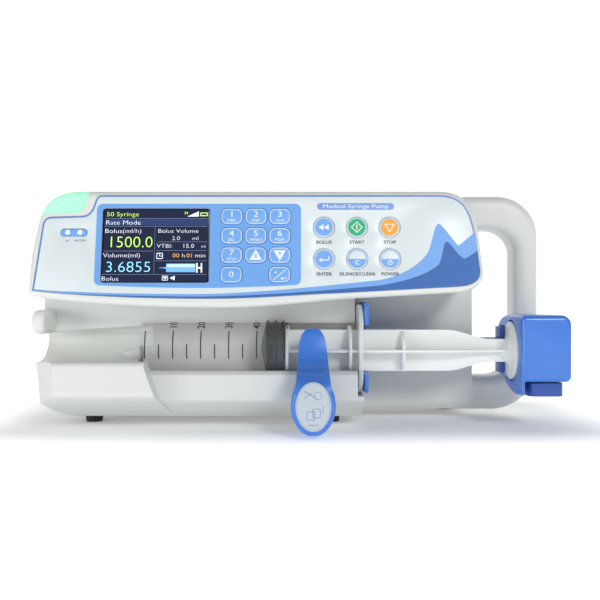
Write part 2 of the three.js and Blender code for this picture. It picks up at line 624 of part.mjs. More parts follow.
function releaseLever() {
  const grip = prismZ(roundedRect(HEAD_X0 + 4.8, HEAD_X1 - 2.8, -18, 12, 4), 17.9, 24.6);
  const stem = box(HEAD_X0 + 5, HEAD_X1 - 5, -14, 8, 24, 27.5);
  return join(grip, stem);
}
add('release_lever', releaseLever(), deepBlue);

// ---------------------------------------------------------------- drive
function gearOutline(pitchR, teeth, turn) {
  const pitchAngle = (2 * Math.PI) / teeth;
  const rootR = pitchR - 1.25;
  const tipR = pitchR + 0.85;
  const points = [];
  for (let n = 0; n < teeth; n += 1) {
    const a = turn + n * pitchAngle;
    const corners = [[rootR, -0.24], [tipR, -0.12], [tipR, 0.12], [rootR, 0.24]];
    for (const [r, f] of corners) {
      points.push([r * Math.cos(a + f * pitchAngle), r * Math.sin(a + f * pitchAngle)]);
    }
  }
  return points;
}
function gear(pitchR, teeth, turn, y, bore) {
  const outline = polygon(gearOutline(pitchR, teeth, turn).map(([a, b]) => [a + y, b + TUBE_Z]));
  return cut(solid(prismX(outline, -133.3, -129.6)), rodX(bore, -140, -120, y, TUBE_Z, 16));
}
const MOTOR_Y = SCREW_Y + GEAR_R + PINION_R;
add('lead_screw', rodX(SCREW_R, -133.6, 25.5, SCREW_Y, TUBE_Z, 20), steel);
add('screw_gear', gear(GEAR_R, GEAR_TEETH, 0, SCREW_Y, SCREW_R + GAP), brass);
add('motor_pinion', gear(PINION_R, PINION_TEETH, Math.PI + Math.PI / PINION_TEETH, MOTOR_Y, 1.6), brass);
function stepperMotor() {
  const half = 14;
  const can = box(-123.8, -93, MOTOR_Y - half + 0.5, MOTOR_Y + half - 2.5, TUBE_Z - half, TUBE_Z + half);
  return join(can, rodX(1.3, -133, -120, MOTOR_Y, TUBE_Z, 12));
}
add('stepper_motor', stepperMotor(), batteryGrey);
add('guide_rod', rodX(ROD_R, -128, 25.5, SCREW_Y, ROD_Z, 16), steel);

function driveFrame() {
  const y0 = 43.5;
  const y1 = 55.5;
  const body = join(
    box(-128.6, 26, y0, y1, 24, 26.4),
    box(-128.6, -125, y0, y1, 24, 66),
    box(22.4, 26, y0, y1, 24, 66),
  );
  return cut(
    body,
    rodX(SCREW_R + 0.4, -140, 40, SCREW_Y, TUBE_Z, 20),
    rodX(ROD_R + 0.3, -140, 40, SCREW_Y, ROD_Z, 16),
  );
}
add('drive_frame', driveFrame(), steel);

function driveCarriage() {
  const block = join(box(-36, -16, 22.5, 40, 33, 57.5), box(-36, -16, 38.5, 57.5, 33, 66));
  return cut(
    block,
    rodX(TUBE_R + GAP, TUBE_X0 - GAP, 0, TUBE_Y, TUBE_Z, 24),
    rodX(SCREW_R + 0.6, -60, 0, SCREW_Y, TUBE_Z, 20),
    rodX(ROD_R + 0.3, -60, 0, SCREW_Y, ROD_Z, 16),
    box(-31, -21, 38, 51, 36, 45),
  );
}
add('drive_carriage', driveCarriage(), batteryGrey);

function halfNut() {
  const block = solid(box(-30.7, -21.3, 41, 50.5, 36.3, 44.7));
  return cut(block, rodX(SCREW_R + 0.2, -60, 0, SCREW_Y, TUBE_Z, 20));
}
add('half_nut', halfNut(), brass);

// ---------------------------------------------------------------- electronics
add('main_board', box(-84, 84, 66, 67.6, 72, 116), boardGreen);
add('power_board', box(-84, -6, 60, 86, 9.5, 11.1), boardGreen);
add('battery_pack', prismX(roundedRect(62.5, 85.5, 13, 46, 3), 6, 79), batteryGrey);
add('battery_cover', join(box(5.3, 79.7, 62.3, 85.7, FLOOR_Z, 7), box(7, 78, 64, 84, 6.9, 11)), shellWhite);

function mainsInlet() {
  const low = INLET_Z - 10.7;
  const high = INLET_Z + 10.7;
  const body = join(
    box(-111.7, -84.3, 78, BACK_Y + 1, low, high),
    box(-114, -82, BACK_Y + GAP, BACK_Y + 2, low - 2, high + 2),
  );
  const socket = box(-109, -87, 81, 100, INLET_Z - 7.5, INLET_Z + 7.5);
  const pins = [-103.5, -98, -92.5].map((x) => solid(box(x - 1, x + 1, 80, 90, INLET_Z - 2, INLET_Z + 2)));
  return pins.reduce((a, b) => a.add(b), cut(body, socket));
}
add('mains_inlet', mainsInlet(), rubberBlack);

// ---------------------------------------------------------------- pole clamp
const JAW_X0 = -30;
const JAW_X1 = 14;
function poleBracket() {
  const z0 = POLE_Z - 15;
  const z1 = POLE_Z + 15;
  const section = polygon([
    [JAW_X0 - 7, BACK_Y + GAP], [JAW_X1 + 9, BACK_Y + GAP], [JAW_X1 + 9, 133], [JAW_X1, 133],
    [JAW_X1 + 5, POLE_Y + 0.5], [JAW_X1 + 5, POLE_Y - 0.5], [JAW_X1, 98], [JAW_X0, 98],
    [JAW_X0, 130], [JAW_X0 - 7, 130],
  ]);
  return cut(solid(prismZ(section, z0, z1)), rodX(4.4, -60, -20, POLE_Y, POLE_Z, 20));
}
add('pole_bracket', poleBracket(), plastic('#c9cdd0', 0.5));
function poleScrew() {
  const knob = new THREE.Shape();
  const lobes = 6;
  for (let n = 0; n <= 36; n += 1) {
    const a = (n / 36) * 2 * Math.PI;
    const r = 14 + 1.4 * Math.cos(lobes * a);
    const x = POLE_Y + r * Math.cos(a);
    const y = POLE_Z + r * Math.sin(a);
    if (n === 0) knob.moveTo(x, y);
    else knob.lineTo(x, y);
  }
  return join(rodX(4, -60, -20.2, POLE_Y, POLE_Z, 20), prismX(knob, -72, -58));
}
add('pole_screw', poleScrew(), rubberBlack);
const padDisc = solid(rodX(9, -22, -15, POLE_Y, POLE_Z, 24));
add('pole_pad', cut(padDisc, rodX(4.4, -23, -19.9, POLE_Y, POLE_Z, 20)), rubberBlack);

// ---------------------------------------------------------------- origin at the middle of the footprint
pump.updateMatrixWorld(true);
const bounds = new THREE.Box3().setFromObject(pump, true);
const middle = bounds.getCenter(new THREE.Vector3());
pump.position.set(-middle.x, -middle.y, -bounds.min.z);

export default pump;
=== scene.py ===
"""Looks of a bench syringe pump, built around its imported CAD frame.

Pieces are modelled in the design frame of the part: millimetres, X along the syringe, Y towards
the back from the syringe's axis, Z up from the table. row() moves them into the frame's metres.
"""
import json
import math

import bmesh
import bpy
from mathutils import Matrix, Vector
from mathutils.geometry import delaunay_2d_cdt


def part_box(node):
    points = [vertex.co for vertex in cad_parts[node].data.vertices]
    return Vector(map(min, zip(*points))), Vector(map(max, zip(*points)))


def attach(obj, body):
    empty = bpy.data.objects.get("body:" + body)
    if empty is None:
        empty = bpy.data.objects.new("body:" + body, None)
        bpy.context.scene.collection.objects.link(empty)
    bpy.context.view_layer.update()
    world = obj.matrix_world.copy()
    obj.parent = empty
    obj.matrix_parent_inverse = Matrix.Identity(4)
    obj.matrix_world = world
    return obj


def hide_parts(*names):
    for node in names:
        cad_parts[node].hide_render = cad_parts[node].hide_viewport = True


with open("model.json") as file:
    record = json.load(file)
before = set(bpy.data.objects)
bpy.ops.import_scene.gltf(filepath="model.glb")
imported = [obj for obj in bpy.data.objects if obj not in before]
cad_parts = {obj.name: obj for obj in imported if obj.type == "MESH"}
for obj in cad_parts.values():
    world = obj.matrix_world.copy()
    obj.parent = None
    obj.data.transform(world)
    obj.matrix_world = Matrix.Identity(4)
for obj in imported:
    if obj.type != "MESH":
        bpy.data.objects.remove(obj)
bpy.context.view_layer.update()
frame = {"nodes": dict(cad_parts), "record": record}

# ---- design frame
MM = 0.001
HEAD_X1 = 135.8
SHIFT_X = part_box("pusher_head")[1].x / MM - HEAD_X1
SHIFT_Y = sum(c.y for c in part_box("syringe_barrel")) / 2 / MM

# syringe and plunger
AXIS_Z = 41.4
BARREL_R = 15.5
BORE_R = 14.75
BARREL_X0 = -82.7
FLANGE_X0 = 29.8
FLANGE_X1 = 32.2
STOPPER_X0 = -20.3
STOPPER_X1 = -8.0
PLUNGER_Z = 40.2
DISC_X0 = 109.2
DISC_X1 = 111.7
DISC_R = 15.0
# casings
BROW_Y = 9.0
TROUGH_R = 15.8
TROUGH_X0 = -84.0
SPLIT_Y = 35.0
BACK_Y = 92.0
FLOOR_Z = 4.5
TOP_Z = 122.8
LEFT_X = -137.5
RIGHT_X = 97.0
BLOCK_X = 32.5
ARM_R = 6.0
EDGE_R = 3.6
POCKET = 1.5
GAP = 0.3
# console face
TILT = math.radians(9.5)
FACE_Y = -18.0
FACE_Z = 62.0
# pusher tube, clamp lever and handle
TUBE_Y = 26.0
TUBE_Z = 40.5
TUBE_R = 5.5
LEVER_X = 6.3
LEVER_Z = 16.2
SHAFT_HOLE_R = 3.9
LEVER_BORE_R = 3.8
LABEL_Y = -46.32
LABEL_THICK = 0.12
HANDLE_X = 135.0
HANDLE_TOP_Z = 125.5
HANDLE_BACK_Y = 60.0
# openings at the back and in the floor
SCREW_SPOTS = ((-116, 106), (86, 110), (0, 12), (86, 12))
SCREW_HOLE_R = 3.3
SCREW_HOLE_DEPTH = 1.8
INLET_HOLE = (-112, -84, 67, 89)
BATTERY_HOLE = (5, 80, 62, 86)
# volume lines and claw openings
MARK_X0 = -78.6
MARK_STEP = 14.16
MARK_COUNT = 11
MARK_LONG = 10.2
MARK_SHORT = 2.7
MARK_LOW = -4.7
MARK_ROWS = 10
CLAW_SLOTS = ((27.9, 34.2), (45.9, 52.4))
TINY = 1e-6


def row(p):
    """A design point in millimetres as a point of the frame in metres."""
    return Vector(((p[0] + SHIFT_X) * MM, (p[1] + SHIFT_Y) * MM, p[2] * MM))


# mappings from a plane outline (a, b) and a thickness c to a design point
def along_x(a, b, c):
    return (c, a, b)


def along_y(a, b, c):
    return (a, c, b)


def along_z(a, b, c):
    return (a, b, c)


def on_face(a, b, c):
    """Console face: a to the right, b up the face, c outwards."""
    s, k = math.sin(TILT), math.cos(TILT)
    return (a, FACE_Y + b * s - c * k, FACE_Z + b * k + c * s)


def behind_face(a, b, c):
    """Console face outline carried straight back by c."""
    return (a, FACE_Y + b * math.sin(TILT) + c, FACE_Z + b * math.cos(TILT))


# ---- outlines
def arc(cx, cy, r, a0, a1, n=8):
    return [
        (cx + r * math.cos(math.radians(a0 + (a1 - a0) * i / n)),
         cy + r * math.sin(math.radians(a0 + (a1 - a0) * i / n)))
        for i in range(n + 1)
    ]


def curve(p0, p1, p2, p3, n=16):
    points = []
    for i in range(n + 1):
        t = i / n
        u = 1 - t
        points.append(tuple(
            u ** 3 * p0[k] + 3 * u * u * t * p1[k] + 3 * u * t * t * p2[k] + t ** 3 * p3[k]
            for k in (0, 1)
        ))
    return points


def path(start, *bends):
    """Joined curves; a bend is two handles, an end and perhaps a count of steps."""
    points = []
    for handle0, handle1, end, *count in bends:
        points += curve(start, handle0, handle1, end, *count)
        start = end
    return points


def circle(cx, cy, r, n=32):
    return arc(cx, cy, r, 0, 360 * (n - 1) / n, n - 1)


def ellipse(cx, cy, rx, ry, n=48):
    return [
        (cx + rx * math.cos(2 * math.pi * i / n), cy + ry * math.sin(2 * math.pi * i / n))
        for i in range(n)
    ]


def rounded_rect(x0, x1, y0, y1, r, n=6):
    return (
        arc(x1 - r, y0 + r, r, -90, 0, n) + arc(x1 - r, y1 - r, r, 0, 90, n)
        + arc(x0 + r, y1 - r, r, 90, 180, n) + arc(x0 + r, y0 + r, r, 180, 270, n)
    )


def tidy_loop(points, least=0.02):
    """The loop anticlockwise, without points that almost coincide."""
    kept = []
    for p in points:
        if not kept or math.dist(p, kept[-1]) > least:
            kept.append(p)
    while len(kept) > 1 and math.dist(kept[0], kept[-1]) <= least:
        kept.pop()
    area = sum(a[0] * b[1] - b[0] * a[1] for a, b in zip(kept, kept[1:] + kept[:1]))
    return kept if area > 0 else kept[::-1]


def inset(points, d, least_mitre=0.35):
    """The loop moved inwards by d at every corner (outwards where d is negative)."""
    moved = []
    count = len(points)
    for i, p in enumerate(points):
        a = Vector(p) - Vector(points[i - 1])
        b = Vector(points[(i + 1) % count]) - Vector(p)
        a.normalize()
        b.normalize()
        normal = Vector((-a.y - b.y, a.x + b.x))
        if normal.length < TINY:
            normal = Vector((-a.y, a.x))
        normal.normalize()
        reach = d / max(least_mitre, normal.dot(Vector((-a.y, a.x))))
        moved.append((p[0] + normal.x * reach, p[1] + normal.y * reach))
    return moved


def inside(p, loop):
    """Whether the point p lies inside the loop."""
    hit = False
    for a, b in zip(loop, loop[1:] + loop[:1]):
        if (a[1] > p[1]) != (b[1] > p[1]):
            if p[0] < (b[0] - a[0]) * (p[1] - a[1]) / (b[1] - a[1]) + a[0]:
                hit = not hit
    return hit


# ---- solids
class Solid:
    """Vertices and faces in outline coordinates."""

    def __init__(self):
        self.points = []
        self.faces = []

    def ring(self, loop, c):
        start = len(self.points)
        self.points += [(a, b, c) for a, b in loop]
        return list(range(start, start + len(loop)))

    def bridge(self, r0, r1):
        count = len(r0)
        for i in range(count):
            j = (i + 1) % count
            self.faces.append((r0[i], r0[j], r1[j], r1[i]))

    def cap(self, outer, holes=()):
        if not holes:
            self.faces.append(tuple(outer))
            return
        loops = [outer, *holes]
        index = [i for loop in loops for i in loop]
        flat = [Vector(self.points[i][:2]) for i in index]
        edges = []
        start = 0
        for loop in loops:
            n = len(loop)
            edges += [(start + i, start + (i + 1) % n) for i in range(n)]
            start += n
        spots, _, tris, origins, _, _ = delaunay_2d_cdt(flat, edges, [], 1, 1e-5)
        height = self.points[outer[0]][2]
        rims = [[self.points[i][:2] for i in hole] for hole in holes]
        known = []
        for spot, origin in zip(spots, origins):
            if origin:
                known.append(index[origin[0]])
            else:
                known.append(len(self.points))
                self.points.append((spot[0], spot[1], height))
        for tri in tris:
            ids = [known[v] for v in tri]
            mid = [sum(self.points[i][k] for i in ids) / 3 for k in (0, 1)]
            if not any(inside(mid, rim) for rim in rims):
                self.faces.append(tuple(ids))


def slab(outer, c0, c1, round0=0.0, round1=0.0, holes=(), steps=4):
    """A plate of the outline from c0 to c1, with rounded rims at either end."""
    made = Solid()
    up = 1 if c1 > c0 else -1
    levels = []
    if round0 > 0:
        for i in range(steps):
            a = math.pi / 2 * i / steps
            levels.append((round0 * (1 - math.sin(a)), c0 + up * round0 * (1 - math.cos(a))))
    levels.append((0.0, c0 + up * round0))
    levels.append((0.0, c1 - up * round1))
    if round1 > 0:
        for i in range(1, steps + 1):
            a = math.pi / 2 * i / steps
            levels.append((round1 * (1 - math.cos(a)), c1 - up * round1 * (1 - math.sin(a))))
    outer = tidy_loop(outer)
    holes = [tidy_loop(h) for h in holes]
    rows_outer = [made.ring(inset(outer, d), c) for d, c in levels]
    rows_holes = [[made.ring(inset(h, -d), c) for d, c in levels] for h in holes]
    for rows in [rows_outer, *rows_holes]:
        for a, b in zip(rows, rows[1:]):
            made.bridge(a, b)
    made.cap(rows_outer[0], [rows[0] for rows in rows_holes])
    made.cap(rows_outer[-1], [rows[-1] for rows in rows_holes])
    return made


def lathe(profile, sides=64):
    """Turns (radius, height) points about the height axis; the outline plane is (a, b), height c."""
    made = Solid()
    rings = []
    for r, h in profile:
        if r < TINY:
            made.points.append((0, 0, h))
            rings.append([len(made.points) - 1])
        else:
            rings.append(made.ring(circle(0, 0, r, sides), h))
    for a, b in zip(rings, rings[1:]):
        if len(a) == 1 and len(b) == 1:
            continue
        if len(a) == 1:
            made.faces += [(a[0], b[i], b[(i + 1) % sides]) for i in range(sides)]
        elif len(b) == 1:
            made.faces += [(a[i], a[(i + 1) % sides], b[0]) for i in range(sides)]
        else:
            made.bridge(a, b)
    return made


def shifted(solid, da=0.0, db=0.0, dc=0.0):
    solid.points = [(a + da, b + db, c + dc) for a, b, c in solid.points]
    return solid


def rod(r, c0, c1, a=0.0, b=0.0, sides=40):
    """A cylinder from c0 to c1 about the outline point (a, b)."""
    return shifted(lathe([(0, c0), (r, c0), (r, c1), (0, c1)], sides), a, b)


# ---- objects
def place(name, data):
    """A new object of the scene."""
    obj = bpy.data.objects.new(name, data)
    bpy.context.scene.collection.objects.link(obj)
    return obj


def mesh_object(name, points, faces, sharp=35.0):
    mesh = bpy.data.meshes.new(name)
    mesh.from_pydata([row(p) for p in points], [], faces)
    mesh.update()
    bm = bmesh.new()
    bm.from_mesh(mesh)
    bmesh.ops.remove_doubles(bm, verts=bm.verts, dist=TINY)
    bmesh.ops.recalc_face_normals(bm, faces=bm.faces)
    bm.to_mesh(mesh)
    bm.free()
    obj = place(name, mesh)
    shade(obj, sharp)
    return obj


def shade(obj, sharp=35.0):
    obj.data.polygons.foreach_set("use_smooth", [True] * len(obj.data.polygons))
    obj.data.set_sharp_from_angle(angle=math.radians(sharp))


def build(name, solids, mapping, sharp=35.0):
    """One object from solids that share a mapping."""
    points, faces = [], []
    for solid in solids if isinstance(solids, list) else [solids]:
        start = len(points)
        points += [mapping(*p) for p in solid.points]
        faces += [tuple(i + start for i in f) for f in solid.faces]
    return mesh_object(name, points, faces, sharp)


def settle(obj):
    """Applies the modifiers of obj."""
    bpy.context.view_layer.update()
    graph = bpy.context.evaluated_depsgraph_get()
    mesh = bpy.data.meshes.new_from_object(obj.evaluated_get(graph))
    obj.modifiers.clear()
    obj.data = mesh
    return obj


def boolean(obj, tool, operation):
    m = obj.modifiers.new("boolean", "BOOLEAN")
    m.operation = operation
    m.solver = "MANIFOLD"
    m.object = tool
    settle(obj)
    bpy.data.objects.remove(tool)
    return obj


def cut(obj, *tools):
    for tool in tools:
        boolean(obj, tool, "DIFFERENCE")
    return obj


def join(obj, *others):
    for other in others:
        boolean(obj, other, "UNION")
    return obj


def soften(obj, width, segments=3, angle=30.0):
    m = obj.modifiers.new("bevel", "BEVEL")
    m.width = width * MM
    m.segments = segments
    m.limit_method = "ANGLE"
    m.angle_limit = math.radians(angle)
    m.use_clamp_overlap = True
    m.miter_outer = "MITER_ARC"
    return settle(obj)


def flat_merge(obj):
    bm = bmesh.new()
    bm.from_mesh(obj.data)
    bmesh.ops.remove_doubles(bm, verts=bm.verts, dist=TINY)
    bmesh.ops.dissolve_limit(bm, angle_limit=math.radians(1), verts=bm.verts, edges=bm.edges)
    bm.to_mesh(obj.data)
    bm.free()
    return obj


def copy_of(node, name):
    """A copy of a CAD node's mesh with its flat faces merged."""
    obj = place(name, frame["nodes"][node].data.copy())
    obj.data.materials.clear()
    return flat_merge(obj)


def tool(solid, mapping):
    return build("tool", solid, mapping)


BODY_OF = {n: b for b, members in frame["record"]["behaviour"]["bodies"].items() for n in members}


def paint(obj, look):
    obj.data.materials.clear()
    obj.data.materials.append(LOOKS[look])


def stand_for(obj, node, look, sharp=35.0):
    """obj is the finished look of one CAD node."""
    shade(obj, sharp)
    paint(obj, look)
    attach(obj, BODY_OF[node])
    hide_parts(node)
    return obj


def trim(obj, body, look):
    """obj is a small extra piece with no CAD node of its own."""
    paint(obj, look)
    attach(obj, body)
    return obj


def printed(name, solids, look, body="housing"):
    """A print or thin plate on the console face."""
    return trim(build(name, solids, on_face), body, look)


# ---- materials
def srgb(code):
    """A #rrggbb colour as linear red, green, blue, alpha."""
    parts = [int(code[i:i + 2], 16) / 255 for i in (1, 3, 5)]
    return tuple(v / 12.92 if v <= 0.04045 else ((v + 0.055) / 1.055) ** 2.4 for v in parts) + (1.0,)


def put(node, **values):
    """Sets inputs of a node by name, with underscores for spaces."""
    for socket, value in values.items():
        node.inputs[socket.replace("_", " ")].default_value = value


LOOKS = {}
MOTTLE_SCALE = 45.0
ROUGHNESS_SPREAD = 0.08


def material(name, color, roughness=0.4, tint=0.05, grain=900, bump=0.05, bump_depth=0.05, **sockets):
    """A procedural surface: mottled colour, uneven roughness and a fine grain."""
    m = bpy.data.materials.new(name)
    m.use_nodes = True
    nodes, links = m.node_tree.nodes, m.node_tree.links
    shader = nodes["Principled BSDF"]
    spot = nodes.new("ShaderNodeTexCoord").outputs["Object"]
    mottle = nodes.new("ShaderNodeTexNoise")
    put(mottle, Scale=MOTTLE_SCALE, Detail=4.0)
    links.new(spot, mottle.inputs["Vector"])
    mix = nodes.new("ShaderNodeMix")
    mix.data_type = "RGBA"
    base = srgb(color)[:3]
    dark = tuple(v * (1 - tint) for v in base) + (1,)
    light = tuple(min(1, v * (1 + tint * 0.6)) for v in base) + (1,)
    put(mix, A=dark, B=light)
    links.new(mottle.outputs["Fac"], mix.inputs["Factor"])
    links.new(mix.outputs["Result"], shader.inputs["Base Color"])
    grainy = nodes.new("ShaderNodeTexNoise")
    put(grainy, Scale=grain, Detail=3.0)
    links.new(spot, grainy.inputs["Vector"])
    rough = nodes.new("ShaderNodeMapRange")
    put(rough, To_Min=max(0.02, roughness - ROUGHNESS_SPREAD), To_Max=min(1.0, roughness + ROUGHNESS_SPREAD))
    links.new(grainy.outputs["Fac"], rough.inputs["Value"])
    links.new(rough.outputs["Result"], shader.inputs["Roughness"])
    relief = nodes.new("ShaderNodeBump")
    put(relief, Strength=bump, Distance=bump_depth * MM)
    links.new(grainy.outputs["Fac"], relief.inputs["Height"])
    links.new(relief.outputs["Normal"], shader.inputs["Normal"])
    put(shader, **sockets)
    LOOKS[name] = m
    return m


def glowing(name, color, strength, roughness=0.4):
    """A flat print that gives off a little light of its own colour."""
    material(name, color, roughness, bump=0, Emission_Color=srgb(color), Emission_Strength=strength)


def clear_plastic(name, color, alpha, roughness=0.12):
    """Thin see-through plastic: a faint milky film with a glossy surface."""
    material(name, color, roughness, 0.02, 400, 0.02, Alpha=alpha)


SURFACES = {
    # colour, roughness, tint, grain, bump, depth of the bump in millimetres
    "shell_white": ("#e3e5e1", 0.42, 0.03, 1800, 0.12, 0.06),
    "overlay_white": ("#e0e9ea", 0.32, 0.02, 2600, 0.05, 0.02),
    "trim_blue": ("#6f93d8", 0.35, 0.03, 900, 0.02),
    "hill_light": ("#78abec", 0.5, 0.04, 900, 0.02),
    "hill_dark": ("#2f66b2", 0.5, 0.05, 900, 0.02),
    "pad_blue": ("#74abed", 0.34, 0.03, 2400, 0.05, 0.02),
    "key_blue": ("#76adf0", 0.34, 0.03, 2400, 0.06, 0.02),
    "print_white": ("#f2f7ff", 0.4, 0.01, 900, 0),
    "pill_blue": ("#7c9fe0", 0.35, 0.03, 900, 0.02),
    "print_grey": ("#3e454b", 0.4, 0.02, 900, 0),
    "deep_blue": ("#2e56a8", 0.34, 0.05, 1500, 0.06),
    "stopper_navy": ("#11151c", 0.4, 0.1, 900, 0.05),
    "rubber_black": ("#1b1b1c", 0.62, 0.15, 1400, 0.18, 0.08),
    "black_plastic": ("#202124", 0.5, 0.1, 1500, 0.15),
    "paint_grey": ("#6b7076", 0.5, 0.06, 900, 0.1),
    "bracket_grey": ("#c3c7ca", 0.42, 0.05, 1400, 0.25, 0.08),
    "board_green": ("#1f6d3c", 0.45, 0.12, 700, 0.1),
    "plunger_white": ("#eef1ef", 0.32, 0.03, 700, 0.04),
    "label_grey": ("#c0cad2", 0.4, 0.04, 1800, 0.08, 0.03),
    "label_ink": ("#7d94c8", 0.5, 0.05, 900, 0),
    "start_green": ("#22b573", 0.35, 0.04, 900, 0.03),
    "stop_orange": ("#f5a623", 0.35, 0.04, 900, 0.03),
    "ring_grey": ("#9fb9ea", 0.35, 0.03, 900, 0.02),
    "mark_ink": ("#20252b", 0.5, 0.05, 900, 0),
}
GLOWS = {
    # colour, strength, and roughness where it isn't the usual
    "text_green": ("#c2ee62", 0.6),
    "text_cyan": ("#8fd8f8", 0.6),
    "text_white": ("#e6ecfa", 0.5),
    "text_orange": ("#d99a50", 0.5),
    "screen_blue": ("#6ea6ee", 0.55),
    "screen_pale": ("#b9d8ff", 0.6),
    "screen_navy": ("#1b2138", 0.55, 0.2),
    "screen_band": ("#2a3760", 0.6, 0.2),
    "screen_line": ("#7484ac", 0.22),
    "led_white": ("#f2fbff", 0.8),
}
for name, values in SURFACES.items():
    material(name, *values)
for name, values in GLOWS.items():
    glowing(name, *values)
material("steel", "#c9cbce", 0.28, Metallic=1.0)
material("brass", "#c9a35c", 0.3, 0.06, Metallic=1.0)
material("blue_plastic", "#427dd9", 0.3, 0.04, 1500, 0.06, Coat_Weight=0.15)
material("screen_glass", "#0b1030", 0.12, 0.1, bump=0, Coat_Weight=0.3)
material("lamp_green", "#b4f5d2", 0.25, 0.1, 500, 0.03, Subsurface_Weight=0.4,
         Emission_Color=srgb("#8df0bb"), Emission_Strength=0.35)
clear_plastic("barrel_clear", "#f2f6f6", 0.035)
clear_plastic("barrel_tip", "#eef2f2", 0.3, 0.2)
clear_plastic("barrel_frost", "#f4f7f7", 0.6, 0.3)

# ---- console
def console_outline():
    return tidy_loop(
        path((-137.8, 10), ((-137.8, 7), (-136, 6.2), (-130, 5.3)),
             ((-105, 1.6), (-70, 0.2), (-40, 0.2), 20),
             ((-15, 0.2), (5, 3.6), (25, 5.1), 16))
        + curve((80, 8.3), (88, 8.8), (93.2, 12), (93.4, 19))
        + curve((91.8, 37), (90.5, 52), (86, 61.6), (72, 61.6))
        + curve((-113, 61.6), (-126, 61.6), (-132, 56), (-134.3, 45))
        + [(-137.2, 27)]
    )


def overlay_outline():
    return tidy_loop(
        path((-135, 9.4), ((-110, 6.8), (-80, 5.4), (-45, 5.4), 24),
             ((-20, 5.4), (0, 7.6), (20, 8.2), 16))
        + curve((80, 11.5), (87, 12), (91.4, 14), (91.2, 20))
        + curve((89.4, 37), (87.5, 51), (84, 59), (71, 59))
        + path((-101.5, 59), ((-105.5, 59), (-104.5, 54), (-107, 50.5), 12),
               ((-108.2, 48.6), (-110, 48), (-113, 48), 8))
        + curve((-126.5, 47.6), (-130, 47.5), (-131, 46), (-131.4, 43), 8)
    )


def lamp_outline():
    return tidy_loop(
        [(-139, 48.6), (-131, 49.0)]
        + path((-131, 49.0), ((-126, 49.6), (-121, 49.8), (-116, 49.9), 6),
               ((-110.8, 50.2), (-110, 53), (-108.4, 61.5), 16))
        + [(-107.6, 75), (-139, 75)]
    )


def console_block(depth=53.0):
    """The console without its pocket: outline carried back, with a full round at the front rim."""
    return slab(console_outline(), 0, depth, round0=EDGE_R, steps=8)


def console_shell():
    block = build("console", console_block(), behind_face)
    trim_back = tool(slab(rounded_rect(-170, 170, 20, 160, 1), SPLIT_Y - GAP, 120), along_y)
    pocket = tool(slab(inset(overlay_outline(), -0.25), -8, POCKET), behind_face)
    lamp = tool(slab(inset(lamp_outline(), -0.22), -8, 22), behind_face)
    cut(block, trim_back, pocket, lamp)
    stand_for(block, "console_shell", "shell_white", 30)
    neck = build("console_neck", slab(
        rounded_rect(LEFT_X + 1.2, FLANGE_X0 - 0.5, 58.6, 72, 0.8), BROW_Y - 0.12, 50), along_y)
    trim(neck, "housing", "shell_white")


def alarm_lamp():
    lens = build("lamp_lens", console_block(), behind_face)
    boolean(lens, tool(slab(lamp_outline(), -8, 21.7), behind_face), "INTERSECT")
    return stand_for(lens, "alarm_lamp", "lamp_green", 40)


console_shell()
alarm_lamp()

# ---- console face
LCD = (-100.8, -46.2, 13.6, 52.0)
KEY_COLUMNS = (-34.8, -22.5, -10.3)
KEY_ROWS = (47.8, 37.7, 27.6, 17.5)
KEY_W, KEY_H, KEY_R = 11.0, 8.4, 3.2
FUNCTION_COLUMNS = (12.2, 29.0, 45.7)
FUNCTION_ROWS = (42.1, 25.6)
FUNCTION_R = 5.4
LED_BAR = (-122.0, -108.7, 37.7, 41.3)
FUNCTION_FACE_R = 4.45
LABEL_DROP = 7.8
KEY_FOOT = -2.2
KEY_TOP = 0.5
KEY_ROUND = 0.35
KEY_GAP = 0.25
KEY_PRINT = KEY_TOP - 0.01
SHEET_BACK = -1.2
INK = 0.06
KEY_NAMES = ("1", "2", "3", "4", "5", "6", "7", "8_up", "9_down", "0", "", "decimal_back")
FUNCTION_NAMES = ("bolus", "start", "stop", "enter", "silence", "power")
# every key: its CAD node, column and row
KEYPAD = [("key_" + name, i % 3, i // 3) for i, name in enumerate(KEY_NAMES) if name]
FUNCTIONS = [(name + "_key", i % 3, i // 3) for i, name in enumerate(FUNCTION_NAMES)]


def key_outline(c, r, grow=0.0):
    x, y = KEY_COLUMNS[c], KEY_ROWS[r]
    w, h = KEY_W / 2 + grow, KEY_H / 2 + grow
    return rounded_rect(x - w, x + w, y - h, y + h, KEY_R + grow, 8)


def function_outline(c, r, grow=0.0):
    return circle(FUNCTION_COLUMNS[c], FUNCTION_ROWS[r], FUNCTION_R + grow, 40)


def grown_rect(box, grow, r):
    return rounded_rect(box[0] - grow, box[1] + grow, box[2] - grow, box[3] + grow, r)


def ribbon(loop, width, c0, thick=INK):
    """A closed band lying inside the loop."""
    return slab(loop, c0, c0 + thick, holes=[inset(tidy_loop(loop), width)])


def flat_mark(loop, c0, thick=INK):
    return slab(loop, c0, c0 + thick)


def face_overlay():
    holes = [grown_rect(LCD, KEY_GAP, 1.6), grown_rect(LED_BAR, KEY_GAP, 1.9)]
    holes += [key_outline(c, r, KEY_GAP) for _, c, r in KEYPAD]
    holes += [function_outline(c, r, KEY_GAP) for _, c, r in FUNCTIONS]
    sheet = build("face_sheet", slab(overlay_outline(), SHEET_BACK, 0, 0, 0.12, holes, 2), on_face)
    stand_for(sheet, "face_overlay", "overlay_white", 30)
    printed("face_border", ribbon(overlay_outline(), 0.75, -0.02, INK * 0.6 + 0.02), "trim_blue")


face_overlay()


def clipped(name, outline, thick, look):
    """A printed area: the outline where it lies on the overlay."""
    area = build(name, flat_mark(outline, 0.0, thick), on_face)
    boolean(area, tool(slab(inset(overlay_outline(), 0.1), -2, 2), on_face), "INTERSECT")
    shade(area, 30)
    return trim(area, "housing", look)


